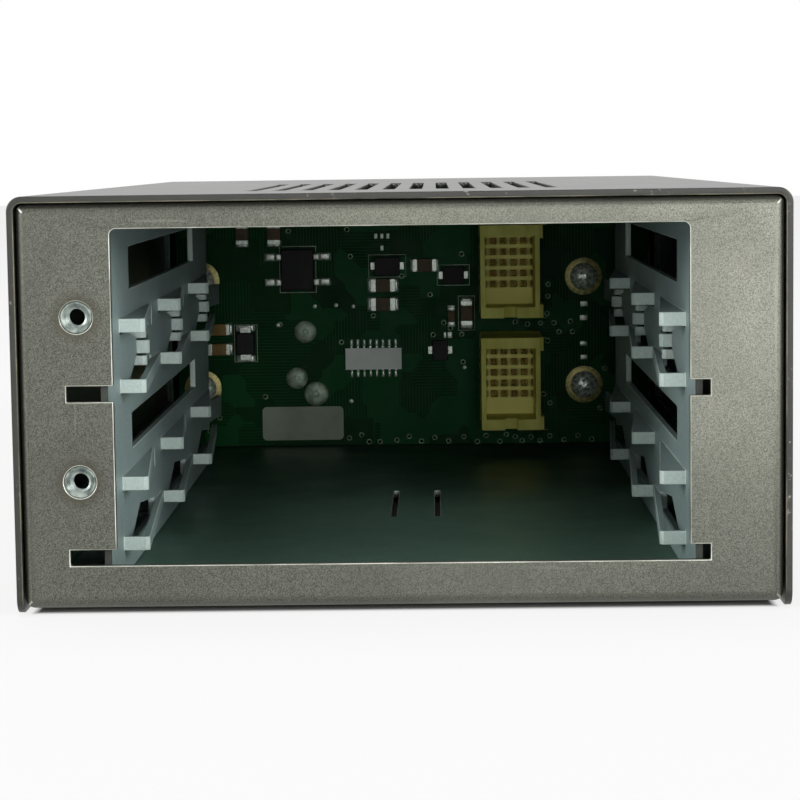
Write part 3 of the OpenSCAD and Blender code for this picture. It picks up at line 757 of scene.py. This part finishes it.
@dataclass(frozen=True)
class Moulded(Finish):
    """Moulded plastic or fired ceramic: a matt skin, faint flow marks and dust.

    rows holds the heights of the contact rows on a connector's bed, which starts at the depth bed.
    The bed is painted lighter as painted light against the shade in its pocket, and each row gets a
    dark band of painted shade for the shade in the contacts' cavities.
    """

    grain: float = 0.18
    relief: float = 0.006
    shine: float = 0.2
    rows: tuple[float, ...] = ()
    bed: float = BOARD_FACE - 8.4
    painted_bed_light: Quad = tone(254, 250, 156)
    painted_row_shade: Quad = tone(122, 92, 30)

    def make(self, web: Web) -> Material:
        """Makes the material.

        Args:
            web: Its nodes.

        Returns:
            The material.
        """
        skin = web.noise(self.grain, 2, 0.6)
        flow = web.noise(3.5, 3, 0.5, web.shift((1, 1, 0.35)))
        tint = web.mix(web.span(flow, 0.35, 0.68), self.dark, self.light)
        tint = web.mix(web.span(web.noise(0.6, 4, 0.7), 0.58, 0.72, 0, 0.3), tint, self.light)
        # Painted light on the connector's bed, and bands of painted shade along its contact rows
        if self.rows:
            within = web.span(web.axis("Y"), back(self.bed - 0.4), back(self.bed))
            tint = web.mix(within, tint, self.painted_bed_light)
        for z in self.rows:
            off = web.calc("ABSOLUTE", web.calc("SUBTRACT", web.axis("Z"), z * MM))
            band = web.times(web.span(off, 0.3 * MM, 0.9 * MM, 0.5, 0.0), within)
            tint = web.mix(web.times(band, web.span(skin, 0.3, 0.6, 0.6, 1.0)), tint, self.painted_row_shade)
        return web.end(tint, self.varied(web, flow, 0.06, 0.08), self.metal, web.bump(skin, self.relief),
                       Specular_IOR_Level=self.shine)


@dataclass(frozen=True)
class Tinned(Finish):
    """Tin, solder or gold that has run and set: soft dents and dull patches."""

    dents: float = 0.9
    relief: float = 0.03

    def make(self, web: Web) -> Material:
        """Makes the material.

        Args:
            web: Its nodes.

        Returns:
            The material.
        """
        run = web.noise(self.dents, 3, 0.5)
        fine = web.noise(0.12, 2, 0.6)
        tint = web.mix(web.span(run, 0.35, 0.65), self.dark, self.light)
        rough = web.calc("ADD", self.varied(web, run, 0.08, 0.1), web.span(fine, 0.3, 0.7, -0.03, 0.05))
        return web.end(tint, rough, self.metal, web.bump(fine, 0.003, 0.6, web.bump(run, self.relief)))


@dataclass(frozen=True)
class Paper(Finish):
    """Coated paper label: fibres, a slight yellowing and faint handling marks."""

    marks: Quad = tone(120, 116, 104)

    def make(self, web: Web) -> Material:
        """Makes the material.

        Args:
            web: Its nodes.

        Returns:
            The material.
        """
        fibre = web.noise(0.35, 3, 0.7, web.shift((0.4, 1, 1)))
        age = web.noise(7.0, 3, 0.5)
        tint = web.mix(web.span(age, 0.35, 0.7), self.light, self.dark)
        tint = web.mix(web.span(web.noise(0.8, 5, 0.7), 0.62, 0.75, 0, 0.4), tint, self.marks)
        return web.end(tint, self.varied(web, fibre, 0.06, 0.05), self.metal, web.bump(fibre, 0.008),
                       Specular_IOR_Level=0.15)


class Shades:
    """Every finish of the chassis."""

    # The zinc sheet paints light: a greenish painted reflection on the inner sides, a painted highlight to
    # the front panel's right with painted shade to its left and below, and painted shade towards the board
    plate = PlatedSheet("zinc_sheet", tone(138, 139, 127), tone(70, 73, 66), 0.4, 0.75, grain=0.16,
                        contrast=0.8, fixings=NUT_PLACES, inside=(0.7, 1.3, 1.2, 1.0),
                        panel_painted_light=(0.68, 0.95, 0.65), edge=0.33, deep=(1.4, 0.4))
    guide = PlatedSheet("guide_sheet", tone(158, 176, 174), tone(118, 136, 136), 0.5, 0.1, grain=0.25,
                        contrast=0.9)
    # A lighter copy of the guide sheet for faces turned to the front: painted light
    lit_face = PlatedSheet("finger_painted_light", tone(202, 216, 210), tone(174, 190, 184), 0.5, 0.1, grain=0.45)
    # A dark copy for the guides' front edges, which lie in shade: painted shade
    foot = CutEdge("guide_front_painted_shade", tone(52, 57, 50), tone(30, 34, 29), 0.6, 0.1)
    cut = CutEdge("cut_edge", tone(214, 216, 204), tone(140, 142, 130), 0.38, 0.6)
    guide_cut = CutEdge("guide_cut_edge", tone(208, 222, 212), tone(168, 182, 174), 0.45, 0.15)
    rim = CutEdge("cover_bare_edge", tone(128, 126, 106), tone(46, 45, 37), 0.5, 0.2)
    paint = TexturedPaint("cover_paint", tone(50, 50, 46), tone(36, 36, 33), 0.31, wear=0.15)
    worn = TexturedPaint("cover_rim_paint", tone(44, 44, 38), tone(26, 26, 22), 0.42, wear=0.6)
    nut = Tinned("nut_plating", tone(158, 168, 162), tone(98, 108, 104), 0.3, 0.8, dents=1.2, relief=0.02)
    screw = Tinned("screw_plating", tone(232, 240, 230), tone(176, 186, 172), 0.27, 0.4, dents=0.7,
                   relief=0.035)
    rivet = Tinned("rivet_metal", tone(196, 198, 198), tone(140, 142, 142), 0.4, 0.8, dents=1.5, relief=0.012)
    mask = SolderMask("solder_mask", tone(6, 68, 27), tone(3, 38, 14), 0.4)
    silk = Moulded("silk_print", tone(196, 204, 192), tone(150, 160, 146), 0.6)
    via = Tinned("via_ring", tone(150, 176, 142), tone(84, 120, 84), 0.4, 0.3, dents=0.5, relief=0.006)
    pad = Tinned("gold_pad", tone(176, 168, 106), tone(112, 106, 62), 0.36, 0.5, dents=0.8, relief=0.01)
    tin = Tinned("tinned_lead", tone(222, 230, 220), tone(156, 166, 156), 0.36, 0.5)
    solder = Tinned("solder", tone(176, 194, 172), tone(118, 138, 116), 0.45, 0.25, dents=1.1)
    # The connector plastic paints its bed lighter and its contact rows darker: painted light and shade
    shroud = Moulded("connector_plastic", tone(234, 231, 132), tone(206, 202, 100), 0.55, shine=0.08,
                      rows=tuple(top - row * CONTACT_STEP for top in CONTACT_TOPS for row in range(5)))
    contact = Moulded("contact_metal", tone(206, 174, 92), tone(150, 120, 56), 0.6, shine=0.08)
    black = Moulded("black_plastic", tone(34, 36, 34), tone(18, 19, 18), 0.55)
    tan = Moulded("capacitor_ceramic", tone(150, 124, 74), tone(112, 90, 50), 0.55)
    brown = Moulded("chip_ceramic", tone(104, 88, 62), tone(70, 58, 40), 0.5)
    paper = Paper("label_paper", tone(238, 246, 242), tone(226, 232, 226), 0.6)
    dull_paper = Paper("board_label_paper", tone(158, 171, 152), tone(138, 147, 130), 0.6)


def dress(piece: Piece, *finishes: Finish) -> Piece:
    """Gives a piece's or a CAD node's slots their finishes.

    Args:
        piece: The piece or node.
        *finishes: The finish of each slot; the last one also takes any further slots.

    Returns:
        The piece or node.
    """
    while len(piece.data.materials) < len(finishes):
        piece.data.materials.append(None)
    for place, slot in enumerate(piece.material_slots):
        slot.material = finishes[min(place, len(finishes) - 1)].ready()
    return piece


def deliver(piece: Piece, slot: str, *nodes: str) -> None:
    """Puts a finished piece on the chassis.

    Args:
        piece: The piece, with its place in its mesh.
        slot: The record's material slot; not used.
        *nodes: CAD nodes that it stands for.
    """
    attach(piece, BODY)
    if nodes:
        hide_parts(*nodes)
    log.info("%s: %d faces", piece.name, len(piece.data.polygons))


def carry(node: str, name: str, slot: str, rim: float, finish: Finish, segments: int = 3,
          merge: bool = True) -> None:
    """Bevels a copy of a CAD node and delivers it in one finish."""
    piece = from_node(node, name, rim, segments, merge)
    deliver(dress(piece, finish), slot, node)


@dataclass
class Case:
    """Pan and cover.

    side and top are the places of the cover's outer faces and sheet is its thickness. Faces as
    near to an end as sheet and inner together belong to the rim.
    """

    rim: float = 0.13
    side: float = 51.5
    top: float = 55.5
    sheet: float = 0.9
    inner: float = 0.3
    screw_rim: float = 0.06

    def build(self) -> None:
        """Bevels both sheets and dresses them."""
        pan = from_node("base_pan", "chassis_pan", self.rim, merge=False)
        deliver(dress(pan, Shades.plate, Shades.cut), "plated_sheet", "base_pan")
        cover = from_node("cover", "wrap_cover", self.rim, merge=False)
        self.sort_cover(cover)
        deliver(dress(cover, Shades.paint, Shades.rim, Shades.worn), "cover_coat", "cover")
        carry("cover_screws", "flush_cover_screws", "screw_steel", self.screw_rim, Shades.screw, 2)

    def sort_cover(self, cover: Piece) -> None:
        """Leaves bare metal only on the rim's inner edges, and paint on all others.

        Args:
            cover: The bevelled cover with its bevels in slot 1.
        """
        paint, bare, worn = range(3)
        near = (self.sheet + self.inner) * MM
        for face in cover.data.polygons:
            middle = face.center
            at_end = min(abs(middle.y - back(0)), abs(middle.y - back(CASE_DEPTH))) < near
            outer_side = abs(middle.x) > (self.side - self.sheet / 2) * MM
            outside = outer_side or middle.z > (self.top - self.sheet / 2) * MM
            if face.material_index == bare and (outside or not at_end):
                face.material_index = worn if at_end else paint
            elif face.material_index == paint and at_end and abs(face.normal.y) > ALONG:
                face.material_index = worn


@dataclass
class CardGuides:
    """The two lanced frames and their rivets.

    foot is the depth of the front edge, which is painted dark as painted shade. A face behind it
    gets the lighter finish of painted light for faces turned to the front where its normal's y is
    below pressed.
    """

    rim: float = 0.11
    foot: float = 4.0
    pressed: float = -0.6
    rivet_rim: float = 0.12

    def build(self) -> None:
        """Bevels the frames and dresses them and the rivets."""
        for side in ("left", "right"):
            frame = from_node(f"{side}_guide_frame", f"{side}_card_guide", self.rim, merge=False)
            self.sort_faces(frame)
            dress(frame, Shades.guide, Shades.guide_cut, Shades.lit_face, Shades.foot)
            deliver(frame, "guide_sheet", f"{side}_guide_frame")
        carry("guide_frame_rivets", "guide_rivets", "rivet_metal", self.rivet_rim, Shades.rivet)

    def sort_faces(self, frame: Piece) -> None:
        """Gives the fingers' faces turned to the front a lighter colour as painted light, and the front
        edge a dark colour as painted shade, apart from the flat sheet.

        Args:
            frame: The bevelled frame with its bevels in slot 1.
        """
        # Slot 2 paints light on faces turned to the front, slot 3 paints shade on the front edge
        lit_face, foot = 2, 3
        for face in frame.data.polygons:
            if face.center.y < back(self.foot):
                face.material_index = foot
            elif face.normal.y < self.pressed:
                face.material_index = lit_face


@dataclass
class FaceplateNuts:
    """Two clinch nuts with a chamfered mouth and a real thread.

    edges holds the bevels of the barrel's tip, of the flange's step and of its end.
    """

    barrel: float = 2.1
    nut: float = 3.175
    panel: float = 1.2
    length: float = 2.7
    minor: float = 1.13
    major: float = 1.42
    pitch: float = 0.5
    crest: float = 0.22
    lip: float = 1.85
    mouth: float = 0.38
    first: float = 0.55
    plain: float = 0.9
    edges: Triple = (0.1, 0.2, 0.25)
    bore: float = 0.3

    def build(self) -> None:
        """Turns one nut and copies it to both places."""
        tip, step, end = self.edges
        outside = [(self.major, self.mouth), (self.lip, 0.0), (self.barrel - tip, 0.0), (self.barrel, tip),
                   (self.barrel, self.panel), (self.nut - step, self.panel), (self.nut, self.panel + step),
                   (self.nut, self.length - end), (self.nut - end, self.length), (self.major, self.length)]
        inside: list[Pair] = []
        for turn in range(int((self.length - self.plain) / self.pitch), -1, -1):
            middle = self.first + turn * self.pitch
            inside += [(self.minor, middle + self.pitch * self.crest), (self.major, middle)]
        nut = turned("faceplate_nut", [*outside, *inside, outside[0]], 40)
        self.open_bore(nut)
        nuts = repeat(nut, [(at(x, 0, z), 0.0) for x, z in NUT_PLACES], Facing.REAR, "clinch_nuts")
        deliver(dress(nuts, Shades.nut), "nut_steel", "faceplate_nuts")

    def open_bore(self, nut: Piece) -> None:
        """Removes the two discs that close the turned shape across its bore.

        Args:
            nut: The turned nut.
        """
        edit(nut)
        within = self.bore * MM
        choose(nut, lambda middle, normal: abs(normal.z) > ALONG and middle.xy.length < within)
        bpy.ops.mesh.delete(type="FACE")
        outwards()


@dataclass
class BoardScrews:
    """Pan-head screws with a cross recess on plated rings.

    ring holds a ring's outer and inner radius, its height and the height of its outer side.
    """

    places: tuple[Pair, ...] = ((34.5, 13.795), (34.5, 35.635), (-42.6, 13.795), (-42.6, 35.635))
    turns: tuple[float, ...] = (12.0, 40.0, 65.0, 28.0)
    head: float = 2.7
    high: float = 1.9
    brim: float = 0.55
    deep: float = 1.0
    shank: float = 8.0
    shank_r: float = 1.46
    tip: Pair = (0.4, 0.5)
    edge: float = 0.12
    dome: tuple[int, ...] = (0, 15, 30, 45, 60, 72, 82)
    ring: Quad = (3.75, 1.8, 0.05, 0.03)
    arm: Triple = (3.1, 0.62, 1.3)
    arm_floor: Pair = (0.35, 0.7)

    def build(self) -> None:
        """Builds the rings and the screws."""
        out, inner, high, side = self.ring
        ring = turned("screw_ring", [(inner, 0), (out, 0), (out, side), (out - high, high),
                                     (inner, high), (inner, 0)], 48)
        spots = [(at(x, BOARD_FACE, z), turn) for (x, z), turn in zip(self.places, self.turns)]
        rings = repeat(ring, spots, Facing.FRONT, "screw_rings")
        deliver(dress(rings, Shades.pad), "board_green")
        screws = repeat(self.screw(), spots, Facing.FRONT, "board_screws")
        deliver(dress(screws, Shades.screw), "screw_steel", "backplane_screws")

    def screw(self) -> Piece:
        """Turns one screw and cuts its cross recess.

        Returns:
            The screw, with the underside of its head at the origin.
        """
        dome = [(self.head * math.cos(a), self.brim + (self.high - self.brim) * math.sin(a))
                for a in map(math.radians, self.dome)]
        inwards, upwards = self.tip
        profile = [(self.shank_r - inwards, -self.shank), (self.shank_r, -self.shank + upwards),
                   (self.shank_r, 0.0), (self.head - self.edge, 0.0), (self.head, self.edge),
                   *dome, (0.0, self.high)]
        screw = turned("board_screw", profile, 40)
        cutter = join([self.wedge(0), self.wedge(90)], "recess_cutter")
        apply(screw, "BOOLEAN", operation="DIFFERENCE", object=cutter, solver="EXACT", use_self=True)
        bpy.data.objects.remove(cutter, do_unlink=True)
        return close(screw, 40)

    def wedge(self, turn: float) -> Piece:
        """Makes one arm of the recess, narrower at its floor.

        Args:
            turn: Its turn about the screw, in degrees.

        Returns:
            The arm.
        """
        arm = block("recess_arm", self.arm, 0.0)
        edit(arm)
        choose(arm, lambda middle, normal: normal.z < -ALONG)
        bpy.ops.transform.resize(value=(*self.arm_floor, 1), center_override=(0, 0, 0))
        return settle(arm, Vector((0, 0, self.high - self.deep)) * MM, Facing.UP, turn)


@dataclass
class Backplane:
    """The board, its connectors, its parts and the large joints of the power inlet."""

    joints: tuple[Triple, ...] = ((-21.7, 25.1, 2.25), (-23.55, 15.7, 2.2), (-19.65, 12.5, 2.45))
    slope: tuple[Pair, ...] = ((1, 0.02), (1, 0.12), (0.95, 0.3), (0.84, 0.48), (0.66, 0.62), (0.42, 0.7))
    pin_tip: tuple[Pair, ...] = ((0.6, 0.72), (0.5, 0.84), (0.3, 0.89), (0.0, 0.9))
    bevelled: tuple[tuple[str, str, str, float], ...] = (
        ("upper_slot_connector", "upper_shroud", "connector_plastic", 0.07),
        ("lower_slot_connector", "lower_shroud", "connector_plastic", 0.07),
        ("bridge_rectifier", "rectifier_body", "black_plastic", 0.22),
        ("bridge_rectifier_leads", "rectifier_leads", "lead_metal", 0.07),
        ("protection_diode", "diode_body", "black_plastic", 0.2),
        ("protection_diode_ends", "diode_ends", "lead_metal", 0.12),
        ("logic_ic", "circuit_body", "black_plastic", 0.14),
        ("logic_ic_leads", "circuit_leads", "lead_metal", 0.04),
        ("input_capacitors", "capacitor_bodies", "capacitor_tan", 0.12),
        ("input_capacitor_ends", "capacitor_ends", "lead_metal", 0.16),
        ("chip_parts", "chip_bodies", "chip_brown", 0.1),
        ("chip_part_ends", "chip_ends", "lead_metal", 0.16),
        ("voltage_regulator", "regulator_bodies", "black_plastic", 0.14),
        ("voltage_regulator_leads", "regulator_leads", "lead_metal", 0.07))

    def build(self) -> None:
        """Builds and dresses everything on the board but its print."""
        finishes = {"connector_plastic": Shades.shroud, "black_plastic": Shades.black,
                    "lead_metal": Shades.tin, "capacitor_tan": Shades.tan, "chip_brown": Shades.brown}
        for node, name, slot, rim in self.bevelled:
            carry(node, name, slot, rim, finishes[slot], merge=slot != "connector_plastic")
        for node, finish in (("backplane_board", Shades.mask), ("backplane_standoffs", Shades.rivet),
                             ("upper_connector_contacts", Shades.contact),
                             ("lower_connector_contacts", Shades.contact),
                             ("logic_ic_label", Shades.paper), ("board_label", Shades.dull_paper)):
            dress(FRAME["nodes"][node], finish)
        self.solder_joints()

    def solder_joints(self) -> None:
        """Turns the three large joints of the power inlet, each with its pin's tip."""
        made = []
        for x, z, radius in self.joints:
            slope = [(radius * share, height) for share, height in self.slope]
            made.append(on_board(turned("solder_joint", [*slope, *self.pin_tip], 28), x, z))
        joints = join(made, "inlet_solder_joints")
        deliver(dress(joints, Shades.solder), "lead_metal", "dc_inlet_terminals")


@dataclass
class BoardPrint:
    """What lies on the board's face: solder at the parts' ends, via rings and printed outlines.

    via holds a ring's outer and inner radius, height and edge, pad a pad's height and rim, fillet
    a fillet's rim and top, and toe the size, rim and top of the solder at a circuit's pin.
    """

    vias: tuple[Pair, ...] = (
        (10.0, 40.4), (6.3, 26.6), (7.6, 25.5), (9.9, 24.2), (10.1, 18.6), (27.4, 34.1), (27.3, 31.7),
        (27.1, 28.2), (28.5, 26.3), (25.8, 26.3), (23.2, 26.1), (20.7, 26.6), (29.5, 24.5), (31.8, 26.6),
        (32.2, 24.5), (27.2, 22.7), (26.3, 11.9), (27.6, 10.1), (10.1, 3.4), (12.8, 2.4), (14.6, 3.6),
        (17.4, 2.4), (18.7, 3.8), (20.5, 3.3), (21.9, 2.5), (23.7, 3.2), (25.5, 2.5), (27.5, 3.4),
        (37.7, 8.9), (38.7, 17.0), (-24.8, 45.4), (-13.0, 45.6), (-12.4, 40.2), (-23.8, 34.3), (-2.1, 36.1),
        (-26.8, 26.6), (-7.9, 28.2), (-14.4, 22.9), (-3.5, 2.9), (-1.0, 3.6), (-10.6, 4.0), (-9.1, 2.6),
        (-13.1, 3.4), (-6.9, 2.6), (1.5, 2.6), (4.2, 3.3), (7.0, 2.6), (-41.4, 5.1), (-39.3, 7.8),
        (3.6, 32.3), (4.1, 24.2), (30.4, 2.6), (33.2, 3.4), (36.0, 2.6), (-44.0, 31.0), (-30.0, 12.0))
    via: Quad = (0.52, 0.34, 0.03, 0.04)
    dots: tuple[Pair, ...] = (
        (-19.7, 30.2), (-15.4, 30.4), (-12.6, 10.9), (-11.9, 30.1), (-27.2, 26.5), (10.4, 17.5))
    dot: tuple[Pair, ...] = ((0.42, 0), (0.42, 0.03), (0.34, 0.08), (0.0, 0.1))
    pads: tuple[Quad, ...] = (
        (34.6, 30.1, 1.5, 1.0), (34.5, 27.3, 1.5, 1.0), (34.4, 22.1, 1.3, 0.9), (34.5, 19.3, 1.3, 0.9),
        (7.8, 29.6, 1.5, 0.9), (7.8, 26.2, 1.5, 0.9), (7.5, 24.1, 0.9, 1.2), (6.5, 24.1, 0.5, 1.2),
        (-6.0, 44.2, 0.6, 1.0), (-7.2, 44.2, 0.6, 1.0), (-4.8, 44.2, 0.6, 1.0), (-6.0, 41.8, 0.6, 1.0))
    pad: Pair = (0.1, 0.04)
    fillets: tuple[tuple[Triple, tuple[Pair, ...]], ...] = (
        ((3.0, 1.7, 0.45), ((-28.3, 40.25), (-28.3, 35.15), (-17.7, 40.25), (-17.7, 35.15))),
        ((4.0, 1.5, 0.35), ((-33.75, 26.0), (-33.75, 19.8))),
        ((1.7, 3.0, 0.6), ((-8.3, 34.3), (-3.5, 34.3), (-8.3, 30.5), (-3.5, 30.5))),
        ((1.5, 2.8, 0.7), ((0.3, 38.3), (4.8, 38.3))),
        ((2.6, 1.4, 0.6), ((10.9, 31.0), (10.9, 26.0))),
        ((2.8, 1.2, 0.6), ((-34.1, 46.9),)), ((2.8, 1.4, 0.6), ((-34.1, 42.9),)),
        ((3.0, 1.2, 0.6), ((-27.7, 46.9),)), ((3.0, 1.4, 0.6), ((-27.7, 42.9),)),
        ((1.0, 2.6, 0.8), ((-41.35, 25.8), (-36.85, 25.8), (-41.35, 21.8), (-36.85, 21.8))))
    fillet: tuple[float, Pair] = (0.18, (0.72, 0.72))
    circuit: Triple = (-7.95, 19.6, 1.27)
    pins: int = 8
    toe: tuple[Triple, float, Pair] = ((0.7, 1.5, 0.42), 0.12, (0.6, 0.75))
    toe_line: float = 3.15
    outlines: tuple[Quad, ...] = (
        (-23.0, 37.7, 7.4, 9.4), (-33.75, 22.9, 4.7, 7.6), (-5.0, 38.2, 7.6, 4.6),
        (10.9, 28.5, 3.4, 7.0), (8.3, 36.2, 6.6, 4.2))
    line: float = 0.12
    high: float = 0.02

    def build(self) -> None:
        """Builds and dresses each kind."""
        deliver(dress(self.solder(), Shades.tin), "lead_metal")
        out, inner, high, edge = self.via
        round_the_hole = [(inner, 0), (out, 0), (out - edge, high), (inner + edge, high), (inner, 0)]
        self.spread(turned("via", round_the_hole, 16), self.vias, "via_rings", Shades.via)
        self.spread(turned("test_point", self.dot, 16), self.dots, "test_points", Shades.tin)
        marks = [on_board(ring_mark("outline", (w, h), self.line, self.high), x, z)
                 for x, z, w, h in self.outlines]
        deliver(dress(join(marks, "printed_outlines"), Shades.silk), "board_green")

    def solder(self) -> Piece:
        """Makes the solder at the ends of the parts, and the bare pads.

        Returns:
            All of it as one piece.
        """
        made = []
        for size, places in self.fillets:
            for x, z in places:
                made.append(on_board(block("fillet", size, *self.fillet), x, z))
        high, rim = self.pad
        for x, z, width, height in self.pads:
            made.append(on_board(block("bare_pad", (width, height, high), rim), x, z))
        x, z, pitch = self.circuit
        for pin in range(self.pins):
            along = x + (pin - (self.pins - 1) / 2) * pitch
            for side in (-1, 1):
                toe = block("toe_solder", *self.toe)
                made.append(on_board(toe, along, z + side * self.toe_line))
        return join(made, "part_solder")

    @staticmethod
    def spread(mark: Piece, places: Sequence[Pair], name: str, finish: Finish) -> None:
        """Copies a mark to its places on the board, and delivers it."""
        spots = [(at(x, BOARD_FACE, z), 0.0) for x, z in places]
        deliver(dress(repeat(mark, spots, Facing.FRONT, name), finish), "board_green")


@dataclass
class Inlet:
    """The power inlet in the rear panel."""

    housing_rim: float = 0.25
    pin_rim: float = 0.35

    def build(self) -> None:
        """Bevels the housing and the pin."""
        carry("dc_inlet_housing", "inlet_housing", "black_plastic", self.housing_rim, Shades.black)
        carry("dc_inlet_pin", "inlet_pin", "lead_metal", self.pin_rim, Shades.tin)


@dataclass
class Studio:
    """Floor, light and camera, with lengths in metres except those of the lens and the sensor.

    foot holds half the width and half the depth of the floor's painted shadow below the chassis,
    floor_painted_shadow that shadow's brightness, and glow how white the rest looks to the camera.
    """

    spot: Triple = (0.0046365, -0.4195062, 0.0600353)
    turn: Triple = (1.4728452, 0.0129914, 0.0135431)
    lens: float = 111.369
    sensor: float = 36.0
    reach: Pair = (0.01, 50.0)
    floor_size: float = 6.0
    floor_gap: float = 0.0002
    pale: Quad = tone(236, 236, 236)
    glow: float = 0.8
    # A painted shadow on the floor below the chassis: its brightness, then its half width and depth
    floor_painted_shadow: float = 0.03
    foot: Pair = (0.05, 0.094)
    surround: float = 0.25
    lamps: tuple[tuple[str, Triple, Triple, float, float], ...] = (
        ("right_softbox", (0.5, -1.15, 0.14), (0.0, -0.05, 0.03), 0.5, 3.2),
        ("left_side_softbox", (-1.0, -0.75, 0.4), (0.0, -0.05, 0.03), 0.5, 8.5),
        ("right_side_softbox", (1.0, -0.75, 0.4), (0.0, -0.05, 0.03), 0.5, 8.0),
        ("front_softbox", (0.07, -0.85, 0.075), (0.0, 0.05, 0.03), 0.22, 0.75),
        ("top_softbox", (-0.1, 0.1, 1.3), (0.0, 0.0, 0.0), 0.9, 7.0))

    def build(self) -> None:
        """Builds the studio."""
        self.camera()
        self.floor()
        self.world()
        for name, place, aim, size, power in self.lamps:
            lamp = bpy.data.lights.new(name, "AREA")
            lamp.shape, lamp.size, lamp.energy = "SQUARE", size, power
            holder = bpy.data.objects.new(name, lamp)
            bpy.context.scene.collection.objects.link(holder)
            holder.location = place
            holder.rotation_euler = (Vector(aim) - Vector(place)).to_track_quat("-Z", "Y").to_euler()
        bpy.context.scene.view_settings.view_transform = "Standard"

    def camera(self) -> None:
        """Places the camera at the photograph's viewing angle."""
        data = bpy.data.cameras.new("photo_camera")
        data.sensor_width, data.lens = self.sensor, self.lens
        data.clip_start, data.clip_end = self.reach
        camera = bpy.data.objects.new("photo_camera", data)
        camera.location, camera.rotation_euler = self.spot, self.turn
        bpy.context.scene.collection.objects.link(camera)
        bpy.context.scene.camera = camera

    def floor(self) -> None:
        """Makes the pale floor, which looks white to the camera but keeps the shadow, with a painted
        shadow darkening its colour below the chassis.
        """
        clear()
        bpy.ops.mesh.primitive_plane_add(size=self.floor_size, location=(0, 0, -self.floor_gap))
        floor = bpy.context.object
        floor.name = "studio_floor"
        bpy.ops.object.transform_apply(location=True, rotation=True, scale=True)
        web = Web("studio_floor")
        # 1 at the chassis's outline and less within it, where the floor's colour is darkened to a painted
        # shadow and it loses its glow
        apart = web.calc("MAXIMUM", *(web.calc("DIVIDE", web.calc("ABSOLUTE", web.axis(name)), half)
                                      for name, half in zip("XY", self.foot)))
        shade = web.scaled(self.pale[:3], web.span(apart, 0.9, 1.0, self.floor_painted_shadow, 1.0))
        web.link(shade, web.shader.inputs["Base Color"])
        web.link(0.9, web.shader.inputs["Roughness"])
        share = web.times(self.seen(web), web.span(apart, 0.98, 1.0, 0.0, self.glow))
        bright = web.add("Emission", {"Strength": 1.0})
        blend = web.add("MixShader", {0: share, 1: web.shader.outputs[0], 2: bright.outputs[0]})
        web.link(blend.outputs[0], web.tree.nodes["Material Output"].inputs["Surface"])
        floor.data.materials.append(web.material)

    @staticmethod
    def seen(web: Web) -> Socket:
        """Gives 1 for rays of the camera, and for mirrored and refracted ones.

        Args:
            web: The nodes of the floor or of the surroundings.

        Returns:
            The share.
        """
        rays = web.add("LightPath").outputs
        direct = web.calc("MAXIMUM", rays["Is Camera Ray"], rays["Is Glossy Ray"])
        return web.calc("MAXIMUM", direct, rays["Is Transmission Ray"])

    def world(self) -> None:
        """Makes the surroundings: white to look at, plainer as a light."""
        sky = Sky()
        ground = sky.tree.nodes["Background"].inputs
        sky.link(sky.span(self.seen(sky), 0.0, 1.0, self.surround, 1.0), ground["Strength"])
        sky.link((1, 1, 1, 1), ground["Color"])


def main() -> None:
    """Builds the chassis and its studio."""
    logging.basicConfig(level=logging.INFO, format="%(name)s %(message)s")
    FRAME.update(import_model())
    for part in (Case(), CardGuides(), FaceplateNuts(), BoardScrews(), Backplane(), BoardPrint(), Inlet()):
        log.info("building %s", type(part).__name__)
        part.build()
    Studio().build()
    bpy.context.view_layer.update()


if __name__ == "__main__":
    main()
